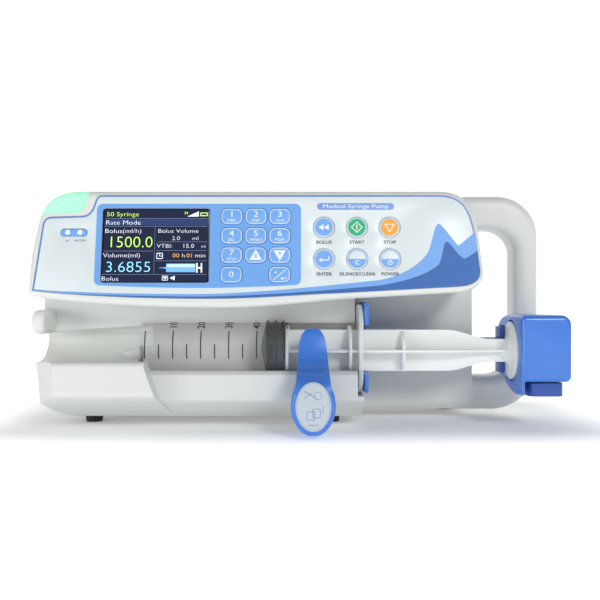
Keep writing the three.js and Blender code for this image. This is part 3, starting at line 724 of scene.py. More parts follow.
def hill_points(points, low):
    return points + [(points[-1][0] + 8, low), (points[0][0], low)]


def hills():
    light = path(
        (-136, 9.9), ((-110, 8.3), (-80, 7.5), (-50, 7.6), 16),
        ((-25, 7.9), (10, 11.4), (40.4, 14.8), 16), ((50, 16.6), (60, 21.5), (65, 29), 10),
        ((67.5, 34), (68.2, 42.5), (70.6, 44.2), 10), ((73.5, 43.5), (77, 36), (80.6, 32.7), 10),
        ((83.5, 34.5), (87, 38), (92, 42), 8),
    )
    dark = path(
        (-136, 8.9), ((-110, 7.2), (-80, 6.3), (-50, 6.3), 16),
        ((-25, 6.5), (10, 9.0), (40.4, 12.0), 16), ((52, 13.8), (65, 17.5), (70.5, 23), 10),
        ((72.5, 26.5), (72.6, 33.5), (74.6, 34.8), 8), ((77.2, 34), (79.5, 27.5), (83.6, 25.8), 8),
        ((86, 27), (89, 29.2), (93, 32), 8),
    )
    clipped("print_hill_light", hill_points(light, -5), INK, "hill_light")
    clipped("print_hill_dark", hill_points(dark, -5), INK * 1.6, "hill_dark")


hills()


def keypad_surround():
    outline = (
        arc(-2.5, 15.2, 3, -85, 0) + arc(-2.5, 51.6, 3, 0, 90) + arc(-101.0, 51.6, 3, 90, 180)
        + arc(-101.2, 15, 3, 180, 265)
        + path((-101, 12.1), ((-80, 10.8), (-55, 10.6), (-40, 10.8), 12),
               ((-25, 11.1), (-15, 11.5), (-2.5, 12.2), 12))
    )
    holes = [grown_rect(LCD, KEY_GAP, 1.6)] + [key_outline(c, r, 0.2) for _, c, r in KEYPAD]
    printed("print_surround", slab(outline, 0.0, INK * 1.2, holes=holes), "pad_blue")


keypad_surround()

# ---- lettering
def text_solid(text, x, y, size, c0, align="CENTER", weight=0.0, widen=1.0, turn=0.0):
    """Lettering as a thin solid on an outline plane, widened sideways."""
    font = bpy.data.curves.new("lettering", "FONT")
    font.body = text
    font.size = size
    font.align_x = align
    font.align_y = "CENTER"
    font.extrude = INK / 2
    font.offset = weight
    font.resolution_u = 3
    holder = place("lettering", font)
    bpy.context.view_layer.update()
    graph = bpy.context.evaluated_depsgraph_get()
    mesh = bpy.data.meshes.new_from_object(holder.evaluated_get(graph))
    made = Solid()
    k, s = math.cos(turn), math.sin(turn)
    for v in mesh.vertices:
        a, b = v.co.x * widen, v.co.y
        made.points.append((x + a * k - b * s, y + a * s + b * k, c0 + v.co.z + INK / 2))
    made.faces = [tuple(p.vertices) for p in mesh.polygons]
    bpy.data.objects.remove(holder)
    bpy.data.meshes.remove(mesh)
    return made


def stroke(x0, y0, x1, y1, width, c0, thick=INK):
    """A straight printed stroke."""
    d = Vector((x1 - x0, y1 - y0)).normalized() * width / 2
    n = Vector((-d.y, d.x))
    corners = [
        (x0 - d.x - n.x, y0 - d.y - n.y), (x1 + d.x - n.x, y1 + d.y - n.y),
        (x1 + d.x + n.x, y1 + d.y + n.y), (x0 - d.x + n.x, y0 - d.y + n.y),
    ]
    return flat_mark(corners, c0, thick)


# ---- keys
KEY_LETTERS = {
    "1": "ABC", "2": "DEF", "3": "GHI", "4": "JKL", "5": "MNO", "6": "PQR", "7": "STU",
}
FUNCTION_WORDS = ("BOLUS", "START", "STOP", "ENTER", "SILENCE/CLEAR", "POWER")


def key_marks(name, x, y):
    """The white marks inside the ring of one keypad key."""
    marks = []
    digit = name[4:]
    letters = KEY_LETTERS.get(digit)
    if digit.isdigit():
        lift = 1.1 if letters else 0.0
        marks.append(text_solid(digit, x, y + lift, 4.4, KEY_PRINT, widen=1.2))
    if letters:
        marks.append(text_solid(letters, x, y - 2.1, 2.1, KEY_PRINT, widen=1.25))
    if name == "key_8_up":
        marks.append(flat_mark([(x - 3.2, y - 2.5), (x + 3.2, y - 2.5), (x, y + 3)], KEY_PRINT))
    if name == "key_9_down":
        marks.append(flat_mark([(x - 3.2, y + 2.5), (x, y - 3), (x + 3.2, y + 2.5)], KEY_PRINT))
    if name == "key_decimal_back":
        marks += [
            stroke(x - 3, y - 2.6, x + 3, y + 2.6, 0.35, KEY_PRINT),
            flat_mark(circle(x - 2, y + 1.2, 0.5, 12), KEY_PRINT),
            stroke(x + 0.6, y - 2, x + 3.2, y - 2, 0.4, KEY_PRINT),
            flat_mark([(x + 0.3, y - 2), (x + 1.5, y - 1.2), (x + 1.5, y - 2.8)], KEY_PRINT),
        ]
    return marks


def key_cap(name, outline, look):
    cap = build(name + "_cap", slab(outline, KEY_FOOT, KEY_TOP, 0, KEY_ROUND, steps=4), on_face)
    stand_for(cap, name, look, 40)


def keypad_keys():
    for name, c, r in KEYPAD:
        outline = key_outline(c, r)
        key_cap(name, outline, "key_blue")
        x, y = KEY_COLUMNS[c], KEY_ROWS[r]
        ring = ribbon(inset(tidy_loop(outline), 0.4), 0.3, KEY_PRINT)
        printed(name + "_mark", [ring] + key_marks(name, x, y), "print_white", BODY_OF[name])
        if name in ("key_8_up", "key_9_down"):
            digit_y = y - 0.6 if name == "key_8_up" else y + 0.6
            digit = text_solid(name[4], x, digit_y, 2.6, KEY_PRINT + INK, weight=0.05)
            printed(name + "_digit", digit, "pad_blue", BODY_OF[name])


keypad_keys()


def function_marks(name, x, y, c0):
    """The white mark on one round key."""
    if name == "bolus_key":
        return [
            flat_mark([(x - 2.8 + d, y), (x - 0.2 + d, y - 1.6), (x - 0.2 + d, y + 1.6)], c0)
            for d in (0, 2.7)
        ]
    if name == "start_key":
        diamond = [(x - 3, y), (x, y - 3), (x + 3, y), (x, y + 3)]
        return [ribbon(diamond, 0.4, c0), stroke(x, y - 1.2, x, y + 1.2, 0.5, c0)]
    if name == "stop_key":
        return [ribbon([(x - 2.7, y + 1.8), (x, y - 2.7), (x + 2.7, y + 1.8)], 0.4, c0)]
    if name == "enter_key":
        return [
            stroke(x - 1.4, y - 0.6, x + 2.4, y - 0.6, 0.5, c0),
            stroke(x + 2.4, y - 0.6, x + 2.4, y + 1.2, 0.5, c0),
            flat_mark([(x - 2.8, y - 0.6), (x - 1.0, y - 1.8), (x - 1.0, y + 0.6)], c0),
        ]
    if name == "silence_key":
        return [text_solid("C", x, y - 2.0, 3.0, c0, weight=0.05)]
    return [ribbon(circle(x, y - 1.9, 1.2, 24), 0.3, c0), stroke(x, y - 1.9, x, y - 0.5, 0.35, c0)]


def function_keys():
    tones = {"start_key": "start_green", "stop_key": "stop_orange"}
    for name, c, r in FUNCTIONS:
        x, y = FUNCTION_COLUMNS[c], FUNCTION_ROWS[r]
        body = BODY_OF[name]
        key_cap(name, function_outline(c, r), "overlay_white")
        ring = ribbon(circle(x, y, FUNCTION_R - 0.36, 48), 0.32, KEY_PRINT)
        printed(name + "_ring", ring, "ring_grey", body)
        disc = circle(x, y, FUNCTION_FACE_R, 48)
        if name in ("silence_key", "power_key"):
            lower_half = arc(x, y, FUNCTION_FACE_R, 180, 360, 24)
            printed(name + "_disc", flat_mark(lower_half, KEY_PRINT), "key_blue", body)
            printed(name + "_rim", ribbon(disc, 0.25, KEY_PRINT), "hill_light", body)
        else:
            printed(name + "_disc", flat_mark(disc, KEY_PRINT), tones.get(name, "key_blue"), body)
        printed(name + "_mark", function_marks(name, x, y, KEY_PRINT + INK), "print_white", body)


function_keys()


def labels():
    solids = []
    for word, (_, c, r) in zip(FUNCTION_WORDS, FUNCTIONS):
        x, y = FUNCTION_COLUMNS[c], FUNCTION_ROWS[r] - LABEL_DROP
        solids.append(text_solid(word, x, y, 2.35, INK * 2, weight=0.02, widen=1.12))
    solids += [text_solid("AC", -118.3, 35.2, 1.4, 0), text_solid("BATTERY", -111.8, 35.2, 1.4, 0)]
    printed("print_labels", solids, "print_grey")
    printed("print_pill", flat_mark(rounded_rect(8.7, 48.2, 51.4, 55, 1.75), 0), "pill_blue")
    title = text_solid("Medical Syringe Pump", 28.5, 53.2, 2.9, INK, widen=1.32)
    printed("print_title", title, "print_white")


labels()


# ---- screen
SCREEN_AT = -0.1
SCREEN_TEXT = [
    # words, left edge, height up the face, letter size, stretch
    ("Rate Mode", -99.4, 44.6, 3.3, 1.24),
    ("Bolus(ml/h)", -99.7, 40.2, 3.2, 1.28),
    ("Volume(ml)", -100.2, 27.5, 3.2, 1.26),
    ("Bolus", -100.6, 15.4, 3.1, 1.3),
    ("Bolus Volume", -72.6, 40.2, 3.0, 1.24),
    ("2.0", -65.3, 36.4, 2.9, 1.2),
    ("ml", -55.0, 36.4, 2.9, 1.2),
    ("VTBI:", -73.0, 32.4, 2.9, 1.25),
    ("15.0", -60.0, 32.4, 2.9, 1.25),
    ("ml", -50.4, 32.2, 2.3, 1.1),
    ("h", -60.1, 27.4, 3.0, 1.2),
    ("min", -53.4, 27.4, 3.0, 1.25),
]
SCREEN_LINES = [
    # left, right, height
    (-99.8, -47.4, 42.7), (-72.6, -47.2, 34.6), (-73.2, -47.6, 30.1), (-73.2, -47.2, 24.7),
    (-99.8, -74.6, 29.8), (-100.4, -47.4, 17.7), (-99.2, -47.2, 46.9),
]


def screen_fill(x0, x1, y0, y1, r=0.15, c0=SCREEN_AT):
    return flat_mark(rounded_rect(x0, x1, y0, y1, r, 3), c0)


def screen_text(words, x, y, size, weight=0.0, widen=1.0):
    return text_solid(words, x, y, size, SCREEN_AT, "LEFT", weight, widen)


def screen_band(box, r, width):
    return ribbon(rounded_rect(*box, r, 3), width, SCREEN_AT)


def screen_fields():
    """The glass, the lit fields on it and the lines between them."""
    glass = slab(grown_rect(LCD, 0, 1.4), SHEET_BACK, SCREEN_AT, 0, 0.1, steps=2)
    stand_for(build("screen_glass", glass, on_face), "screen_window", "screen_glass", 40)
    lit = screen_fill(-99.9, -46.9, 14.3, 51.4, 0.5, SCREEN_AT - INK * 0.6)
    printed("screen_field", lit, "screen_navy")
    header = screen_fill(-99.7, -47.0, 43.1, 46.6, c0=SCREEN_AT - INK * 0.4)
    printed("screen_header", header, "screen_band")
    lines = [screen_fill(x0, x1, y - 0.09, y + 0.09, 0.05) for x0, x1, y in SCREEN_LINES]
    lines.append(screen_fill(-74.1, -73.95, 18, 42.4, 0.05))
    printed("screen_lines", lines, "screen_line")


def screen_icons():
    """The small white signs: battery, clock, scale mark, heart and loudspeaker."""
    heart = [(-68.3, 15.1), (-67.4, 16.1), (-67.8, 16.5), (-68.3, 16.2), (-68.8, 16.5), (-69.2, 16.1)]
    speaker = [(-65.4, 15.3), (-64.6, 15.3), (-63.4, 14.6), (-63.4, 17.1), (-64.6, 16.4), (-65.4, 16.4)]
    return [
        flat_mark([(-57.6, 47.9), (-51.8, 47.9), (-51.8, 50.6)], SCREEN_AT),
        screen_band((-72.9, -69.7, 25.7, 28.9), 0.4, 0.35),
        stroke(-71.3, 27.2, -71.3, 28.2, 0.3, SCREEN_AT),
        stroke(-71.3, 27.2, -70.4, 27.2, 0.3, SCREEN_AT),
        screen_fill(-52.6, -51.9, 18.6, 23.6),
        screen_fill(-50.3, -49.6, 18.6, 23.6),
        screen_fill(-52.6, -49.6, 20.7, 21.5),
        screen_band((-69.8, -66.8, 14.6, 17.0), 0.3, 0.3),
        flat_mark(heart, SCREEN_AT),
        flat_mark(speaker, SCREEN_AT),
    ]


def screen_prints():
    white = [screen_text(words, x, y, size, -0.05, widen) for words, x, y, size, widen in SCREEN_TEXT]
    printed("screen_white", white + screen_icons(), "text_white")
    green = [
        screen_text("1500.0", -98.2, 34.2, 8.3, -0.12, 1.04),
        screen_text("50 Syringe", -99.0, 49.0, 3.2, -0.04, 1.24),
        screen_band((-51.0, -47.2, 48.1, 50.0), 0.3, 0.45),
        text_solid("M", -58.2, 49.6, 2.0, SCREEN_AT, widen=1.1),
    ]
    printed("screen_green", green, "text_green")
    printed("screen_cyan", screen_text("3.6855", -98.9, 21.3, 7.9, -0.12, 1.1), "text_cyan")
    orange = [screen_text(words, x, 27.4, 3.0, widen=1.2) for words, x in (("00", -64.8), ("01", -57.8))]
    printed("screen_orange", orange, "text_orange")
    syringe_sign = [
        screen_fill(-67.8, -53.0, 18.9, 23.3, 0.2),
        screen_fill(-68.9, -67.6, 20.7, 21.5),
        screen_fill(-71.4, -68.8, 20.95, 21.25, 0.1),
    ]
    printed("screen_blue", syringe_sign, "screen_blue")
    shine = screen_fill(-67.4, -53.4, 21.5, 22.9, 0.2, SCREEN_AT + INK * 0.8)
    printed("screen_shine", shine, "screen_pale")


screen_fields()
screen_prints()


def led_bar():
    bar = build("led_bar", slab(grown_rect(LED_BAR, 0, 1.78), SHEET_BACK, 0.3, 0, 0.25, steps=3), on_face)
    stand_for(bar, "status_led_bar", "key_blue", 40)
    dots = [flat_mark(circle(x, 39.5, 1.15, 24), 0.28) for x in (-118.4, -112.2)]
    printed("led_dots", dots, "led_white")


led_bar()


# ---- front casing
def front_casing():
    back = SPLIT_Y - GAP
    left_section = (
        [(back, FLOOR_Z), (10, FLOOR_Z), (-23, 16.6), (-26.6, 18.8), (-27.5, 21), (-27.5, 32.8)]
        + path((-27.5, 32.8), ((-27.4, 35.4), (-25.5, 36.2), (-22.5, 35.7), 6),
               ((-12, 33.8), (4, 34.0), (12, 39.0), 12),
               ((16.5, 42), (19, 44), (19, 47.5), 8))
        + [(18.5, 49), (BROW_Y, 49.5), (BROW_Y, 61.5), (back, 61.5)]
    )
    mid_section = [
        (back, FLOOR_Z), (10, FLOOR_Z), (-12.4, 13.7), (-15, 15.6), (-15.5, 18), (-15.5, 28.6),
        (-13.6, 30.2), (-8, 31), (BROW_Y, 42), (BROW_Y, 61.5), (back, 61.5),
    ]
    outline = (
        [(LEFT_X, 70), (LEFT_X + 0.3, 50), (-136, 38)]
        + curve((-132, 25), (-130.5, 13), (-130, FLOOR_Z + 0.5), (-119, FLOOR_Z), 18)
        + [(BLOCK_X, FLOOR_Z), (BLOCK_X, 70)]
    )
    shell = build("front_shell", slab(left_section, -150, -60), along_x)
    right_of_apron = [(-77, 45), (-77, 33), (-70.5, 15), (-66, 2), (0, 2), (0, 45)]
    left_corner = [(-150, -40), (-121.5, -40), (-121.5, -28), (-131.5, -17.5), (-137, -7), (-150, -7)]
    cut(
        shell,
        tool(slab(right_of_apron, -40, BROW_Y - 1), along_y),
        tool(slab(left_corner, 0, 60), along_z),
        tool(slab([(-150, 44.5), (-150, 48.6), (-60, 54.5), (-60, 44.5)], 4, 16.5), along_y),
        tool(slab(rounded_rect(-60, 60, -10, 90, 1), -66.2, 0), along_x),
    )
    join(shell, tool(slab(mid_section, -79, BLOCK_X), along_x))
    boolean(shell, tool(slab(outline, -60, 60), along_y), "INTERSECT")
    flat_merge(shell)
    soften(shell, 1.7, 5, 16)
    cheek = slab(rounded_rect(-13, 22, 49, 61.5, 5, 8), LEFT_X + 0.3, -130, 3.0, 2.0, steps=5)
    join(shell, tool(cheek, along_x))
    cut(shell, tool(rod(TROUGH_R, TROUGH_X0, 40, 0, AXIS_Z, 96), along_x))
    cut(shell, tool(slab(rounded_rect(-40, 18.6, 17.6, 75, 0.5), FLANGE_X0 - 0.5, 60), along_x))
    cut(shell, tool(rod(TUBE_R + 0.5, 20, 60, TUBE_Y, TUBE_Z), along_x))
    cut(shell, tool(rod(SHAFT_HOLE_R, -60, 12, LEVER_X, LEVER_Z), along_y))
    return stand_for(shell, "front_casing", "shell_white", 24)


front_casing()


# ---- rear casing and handle
def rear_casing():
    body_outline = (
        arc(LEFT_X + 18, FLOOR_Z + 18, 18, 180, 270, 14)
        + [(BLOCK_X + 0.6, FLOOR_Z), (BLOCK_X + 0.6, TOP_Z)]
        + arc(LEFT_X + 20, TOP_Z - 20, 20, 90, 180, 14)
    )
    shell = build("rear_shell", slab(body_outline, SPLIT_Y, BACK_Y, 0.6, 5.0, steps=6), along_y)
    right_outline = [(26, FLOOR_Z), (RIGHT_X + 12, FLOOR_Z), (RIGHT_X + 12, TOP_Z), (26, TOP_Z)]
    right = tool(slab(right_outline, SPLIT_Y, BACK_Y, ARM_R, 5.0, steps=8), along_y)
    right_top = [(29.5, 20), (RIGHT_X - 0.4, 20), (RIGHT_X, 20.4)]
    right_top += arc(RIGHT_X - 5, BACK_Y + 0.5 - 5, 5, 0, 90, 8)
    boolean(right, tool(slab(right_top + [(29.5, BACK_Y + 0.5)], 0, 140), along_z), "INTERSECT")
    join(shell, right)
    handle_outline = (
        [(RIGHT_X - 30, FLOOR_Z)] + arc(HANDLE_X - 26, FLOOR_Z + 26, 26, -90, 0, 18)
        + arc(HANDLE_X - 23, HANDLE_TOP_Z - 23, 23, 0, 90, 16) + [(RIGHT_X - 30, HANDLE_TOP_Z)]
    )
    grip = (
        [(RIGHT_X - 12, 23.5)] + arc(107.5, 37.5, 14, -90, 0, 14) + arc(107.5, 92.5, 14, 0, 90, 14)
        + [(RIGHT_X - 12, 106.5)]
    )
    ring = slab(handle_outline, SPLIT_Y + 0.02, HANDLE_BACK_Y, ARM_R, ARM_R, holes=[grip], steps=8)
    handle = build("handle", ring, along_y)
    cut(handle, tool(slab(rounded_rect(0, RIGHT_X - 4, -20, 200, 1), 0, 200), along_y))
    join(shell, handle)
    cut(shell, tool(slab(rounded_rect(*INLET_HOLE, 1), 80, 100), along_y))
    for x, z in SCREW_SPOTS:
        cut(shell, tool(rod(SCREW_HOLE_R, BACK_Y - SCREW_HOLE_DEPTH, 100, x, z, 32), along_y))
    cut(shell, tool(slab(rounded_rect(*BATTERY_HOLE, 1), 0, 12), along_z))
    return stand_for(shell, "rear_casing", "shell_white", 24)


rear_casing()


# ---- syringe
def syringe_axis(solid):
    return shifted(solid, 0, AXIS_Z)


def barrel():
    r, b, x0 = BARREL_R, BORE_R, BARREL_X0
    tube = lathe([
        (0, x0), (r - 1.6, x0), (r - 0.5, x0 + 0.5), (r, x0 + 1.8), (r, FLANGE_X0), (0, FLANGE_X0),
    ], 96)
    bore = lathe([
        (0, x0 + 1.2), (b - 1.4, x0 + 1.2), (b, x0 + 2.2), (b, FLANGE_X1 + 2), (0, FLANGE_X1 + 2),
    ], 96)
    wall = cut(build("barrel", syringe_axis(tube), along_x), tool(syringe_axis(bore), along_x))
    stand_for(wall, "syringe_barrel", "barrel_clear", 30)
    outline = rounded_rect(-16, 16, AXIS_Z - 22.8, AXIS_Z + 22.8, 13, 16)
    flange = build("barrel_flange", slab(outline, FLANGE_X0, FLANGE_X1, 0.6, 0.6), along_x)
    cut(flange, tool(syringe_axis(bore), along_x))
    shade(flange, 30)
    trim(flange, "housing", "barrel_frost")
    nozzle = lathe([
        (0, x0 - 10), (2.1, x0 - 10), (2.4, x0 - 9.6), (3.0, x0 - 1), (4.2, x0 - 0.05), (0, x0 - 0.05),
    ], 40)
    tip = build("barrel_tip", shifted(nozzle, 0, AXIS_Z - 2.6), along_x)
    trim(tip, "housing", "barrel_tip")


def wrap(solid, radius):
    """Bends a print from the plane (x, height) onto the front of the barrel."""
    made = Solid()
    made.faces = solid.faces
    for a, b, c in solid.points:
        turn = (b - AXIS_Z) / radius
        reach = radius + c
        made.points.append((a, -reach * math.cos(turn), AXIS_Z + reach * math.sin(turn)))
    return made


def barrel_marks():
    """Volume lines every 5 ml, long at the tens, and the tens as numbers."""
    solids = []
    for i in range(MARK_COUNT):
        x = MARK_X0 + i * MARK_STEP / 2
        high = MARK_LONG if i % 2 == 0 else MARK_SHORT
        for k in range(MARK_ROWS):
            z0 = AXIS_Z + MARK_LOW + (high - MARK_LOW) * k / MARK_ROWS
            z1 = AXIS_Z + MARK_LOW + (high - MARK_LOW) * (k + 1) / MARK_ROWS
            dash = [(x - 0.3, z0), (x + 0.3, z0), (x + 0.3, z1), (x - 0.3, z1)]
            solids.append(wrap(slab(dash, 0.02, 0.06), BARREL_R))
    for i in range(1, MARK_COUNT // 2 + 1):
        x = MARK_X0 + i * MARK_STEP
        number = text_solid(str(i * 10), x, AXIS_Z + 14.0, 5.4, 0.0, weight=0.05, turn=math.pi / 2)
        solids.append(wrap(number, BARREL_R + 0.02))
    trim(build("barrel_marks", solids, along_z), "housing", "mark_ink")


def stopper():
    length = STOPPER_X1 - STOPPER_X0
    seal = BORE_R - 0.12
    profile = [
        (0, 0), (1.5, 0.1), (5, 0.8), (10, 1.9), (13.4, 2.6),
        (seal - 0.3, 2.9), (seal, 3.2), (seal, 3.6), (seal - 0.3, 3.9), (13.6, 4.2), (13.5, 6.8),
        (seal - 0.3, 7.1), (seal, 7.4), (seal, 7.9), (seal - 0.3, 8.2), (13.7, 8.5), (13.6, 10.9),
        (seal - 0.3, 11.2), (seal, 11.5), (seal, 11.8), (seal - 0.4, length), (0, length),
    ]
    solid = syringe_axis(shifted(lathe(profile, 96), 0, 0, STOPPER_X0))
    stand_for(build("stopper", solid, along_x), "plunger_stopper", "stopper_navy", 50)


def plunger():
    start = STOPPER_X1 + GAP
    end = DISC_X0 + 0.5
    fin = curve((76, -10.8), (85, -10.8), (91, -6.2), (99, -6), 14) + [(end, -6), (end, 6)]
    fin += curve((99, 6), (91, 6.2), (85, 10.8), (76, 10.8), 14) + [(start, 10.8), (start, -10.8)]
    raised = [(x, z + PLUNGER_Z) for x, z in fin]
    upright = build("plunger", slab(raised, -1, 1, 0.4, 0.4, steps=3), along_y)
    join(upright, tool(slab(fin, PLUNGER_Z - 0.7, PLUNGER_Z + 0.7, 0.3, 0.3, steps=3), along_z))
    rings = [
        [(0, x0), (r - 0.4, x0), (r, x0 + 0.4), (r, x1 - 0.4), (r - 0.4, x1), (0, x1)]
        for x0, x1, r in ((start, start + 2, 13), (25, 26.6, 13), (52.6, 54.2, 10.2))
    ]
    rings.append([
        (0, end - 5), (3, end - 4.6), (5.5, end - 2.6), (8.5, end - 0.9), (DISC_R - 0.8, DISC_X0),
        (DISC_R, DISC_X0 + 0.7), (DISC_R, DISC_X1 - 0.7), (DISC_R - 0.8, DISC_X1), (0, DISC_X1),
    ])
    for profile in rings:
        join(upright, tool(shifted(lathe(profile, 96), 0, PLUNGER_Z), along_x))
    stand_for(upright, "plunger_rod", "plunger_white", 28)


barrel()
barrel_marks()
stopper()
plunger()


# ---- retainer, lever, pusher
def retainer():
    x0 = FLANGE_X1 + 0.6
    x1 = x0 + 2.2
    slot = rounded_rect(-30, 12.5, AXIS_Z - 12.5, AXIS_Z + 12.5, 6, 10)
    front = slab(rounded_rect(-14, 30, 19, 65.5, 4, 10), x0, x1, 0.5, 0.5, steps=3)
    plate = build("retainer", front, along_x)
    join(plate, tool(slab(rounded_rect(20, SPLIT_Y - GAP, 20, 64, 0.4), x0 + 0.1, x0 + 2.1), along_x))
    cut(plate, tool(slab(slot, x0 - 1, x0 + 4), along_x))
    cut(plate, tool(rod(TUBE_R + 0.5, 20, 60, TUBE_Y, TUBE_Z), along_x))
    stand_for(plate, "flange_retainer", "blue_plastic", 30)


retainer()


def clamp_lever():
    outer = path(
        (-16.3, 48), ((-16.8, 51.5), (-18.5, 52.6), (-20.5, 52.6), 6),
        ((-23.2, 52.4), (-24.2, 50), (-25, 46), 6), ((-26.5, 38), (-30, 34.5), (-36, 32.5), 10),
        ((-42, 31), (-45.8, 28), (-46.3, 22), 8), ((-46.2, 12), (-45.8, 6), (-45, 2.4), 4),
    )
    inner = path((-32, 2.4), ((-26, 4), (-24, 8), (-24, 14), 6), ((-24, 21), (-21, 25.5), (-16.3, 30.5), 6))
    side = [(-16.3, 30.5), (-16.3, 48)] + outer + [(-43, 2.1), (-32, 2.4)] + inner
    front = ellipse(LEVER_X, LEVER_Z, 10.7, 14.2, 72)
    finger = path(
        (-8.9, 14), ((-8.6, 24), (-7.6, 34), (-6.9, 43), 10), ((-6.3, 49.5), (-3.8, 52.7), (0, 52.7), 10),
        ((3.8, 52.7), (6.3, 49.5), (6.9, 43), 10), ((7.6, 34), (8.6, 24), (8.9, 14), 10),
    )
    finger = [(x + LEVER_X, z) for x, z in finger]
    facing = build("facing", slab(front, -46.4, 0, 2.2, 0, steps=6), along_y)
    join(facing, tool(slab(finger, -60, 0), along_y))
    lever = build("lever", slab(side, -20, 40), along_x)
    boolean(lever, facing, "INTERSECT")
    flat_merge(lever)
    soften(lever, 0.9, 4, 50)
    cut(lever, tool(rod(LEVER_BORE_R, -38, 5, LEVER_X, LEVER_Z, 32), along_y))
    stand_for(lever, "clamp_lever", "blue_plastic", 35)


clamp_lever()


def lever_label():
    """The pale oval plate on the clamp lever, with its line pictograms."""
    x, z = LEVER_X, LEVER_Z
    front = LABEL_Y - LABEL_THICK
    body = BODY_OF["clamp_lever"]
    plate = slab(ellipse(x, z, 8.4, 11.7, 64), LABEL_Y, front, 0, 0.08, steps=2)
    trim(build("lever_plate", plate, along_y), body, "label_grey")
    bands = [
        (ellipse(x, z, 7.9, 11.2, 64), 0.16),
        (rounded_rect(x - 3.2, x + 0.6, z - 6.4, z - 2.0, 0.6), 0.3),
        (rounded_rect(x - 0.4, x + 3.4, z - 5.2, z - 0.8, 0.6), 0.3),
        (circle(x + 2.2, z + 5.2, 1.9, 24), 0.3),
    ]
    lines = [
        (x - 4.2, z + 7.4, x + 0.8, z + 4.4, 0.35),
        (x - 4.4, z + 4.0, x - 0.6, z + 6.6, 0.35),
        (x - 2.4, z - 8.6, x + 2.4, z - 8.6, 0.3),
        (x + 4.6, z - 2.6, x + 4.6, z + 0.4, 0.3),
    ]
    marks = [ribbon(loop, width, front, -INK) for loop, width in bands]
    marks += [stroke(*line, front, -INK) for line in lines]
    trim(build("lever_marks", marks, along_y), body, "label_ink")


lever_label()


def pusher_head():
    x0, x1, z0, z1 = 110.4, HEAD_X1, 25.4, 58.9
    outline = (
        [(x0, z0), (x1 - 3, z0)] + arc(x1 - 3, z0 + 3, 3, -90, 0, 8) + arc(x1 - 5, z1 - 5, 5, 0, 90, 12)
        + arc(x0 + 3, z1 - 3, 3, 90, 180, 8)
    )
    back = (
        [(-30, 18), (10, 18)] + curve((20, 25.2), (27, 26), (33.3, 31), (33.3, 38), 10)
        + curve((33.3, 45), (33, 51), (27, 55), (16, 58), 10) + [(6, 64), (-30, 64)]
    )
    hollow = (
        [(-19.6, 27.4), (22, 27.4)] + curve((22, 27.4), (28, 28), (31, 32), (31, 38), 8)
        + curve((31, 45), (31, 50), (25, 53), (15, 55.4), 8) + [(6, 56.7), (-19.6, 56.7)]
    )
    skirt = [(-21.5, 40), (-21, 18.8), (-10, 18.2)] + curve((-10, 18.2), (8, 18.6), (22, 26), (28, 34), 8)
    skirt.append((28, 40))
    shell = build("pusher_cover", slab(outline, -22, 33.5, 2.6, 0.5, steps=6), along_y)
    boolean(shell, tool(slab(back, x0 - 3, x1 + 3), along_x), "INTERSECT")
    join(shell, tool(slab(skirt, x0 + 0.03, x0 + 2, 0.7, 0.7, steps=4), along_x))
    cut(
        shell,
        tool(slab(hollow, x0 + 4.2, x1 - 2.1), along_x),
        tool(slab(rounded_rect(x0 + 4.3, x1 - 2.2, -19.5, 17.6, 2), z0 - 5, z0 + 4), along_z),
        tool(rod(DISC_R + 1, x0 - 1, DISC_X1 + GAP, 0, PLUNGER_Z, 72), along_x),
    )
    for low, high in CLAW_SLOTS:
        claw_slot = rounded_rect(14.9, 24.5, low - 0.5, high + 0.5, 0.8)
        cut(shell, tool(slab(claw_slot, x0 - 1, x0 + 5), along_x))
    cut(shell, tool(rod(TUBE_R + GAP, x0 - 1, x0 + 6, TUBE_Y, TUBE_Z), along_x))
    stand_for(shell, "pusher_head", "blue_plastic", 30)


pusher_head()


# ---- pieces that keep their CAD shape, most with soft edges
def softened(node, look, width, segments=3, angle=30.0):
    obj = copy_of(node, node + "_look")
    soften(obj, width, segments, angle)
    return stand_for(obj, node, look)


softened("release_lever", "deep_blue", 1.0, 4)
softened("disc_claws", "deep_blue", 1.0, 4)
softened("mains_inlet", "black_plastic", 0.4, 2)
softened("pole_bracket", "bracket_grey", 1.2, 4)
softened("pole_screw", "black_plastic", 0.8, 3, 40)
softened("pole_pad", "rubber_black", 0.6, 3, 40)
softened("battery_cover", "shell_white", 0.4, 2)
for n in range(1, 5):
    softened(f"rubber_foot_{n}", "rubber_black", 0.5, 3, 40)
    softened(f"casing_screw_{n}", "steel", 0.3, 2, 40)

for node, look in {
    "pusher_tube": "deep_blue", "clamp_shaft": "steel", "half_nut": "brass", "drive_carriage": "paint_grey",
    "lead_screw": "steel", "screw_gear": "brass", "motor_pinion": "brass", "stepper_motor": "paint_grey",
    "guide_rod": "steel", "drive_frame": "steel", "main_board": "board_green", "power_board": "board_green",
    "key_board": "board_green", "battery_pack": "paint_grey", "screen_module": "black_plastic",
}.items():
    paint(frame["nodes"][node], look)


# ---- camera, floor and light
CAMERA_DISTANCE = 450.0
EYE_Z = 66.5
LENS_MM = 51.576
camera_data = bpy.data.cameras.new("camera")
camera_data.lens = LENS_MM
camera_data.sensor_width = 36.0
camera_data.clip_start = 0.01
camera = place("camera", camera_data)
camera.location = row((0, -CAMERA_DISTANCE, EYE_Z))
camera.rotation_euler = (math.pi / 2, 0, 0)
bpy.context.scene.camera = camera

SKY = (0.95, 0.97, 1.0, 1)
SKY_STRENGTH = 0.2
# The next three values paint a contact shadow on the floor: half the size of the box under the pump, how far
# outside it the glow takes to come back, and the lowered glow inside it.
PAINTED_SHADOW_HALF = (0.135, 0.05, 0)
PAINTED_SHADOW_REACH = 0.07
PAINTED_SHADOW_GLOW = 0.14
GLOW_FAR = 0.75
PAPER_HALF_WIDTH = 3.0
PAPER_FRONT = -2.5
PAPER_BEND = 0.9
BEND_R = 0.6
PAPER_TOP = 3.0


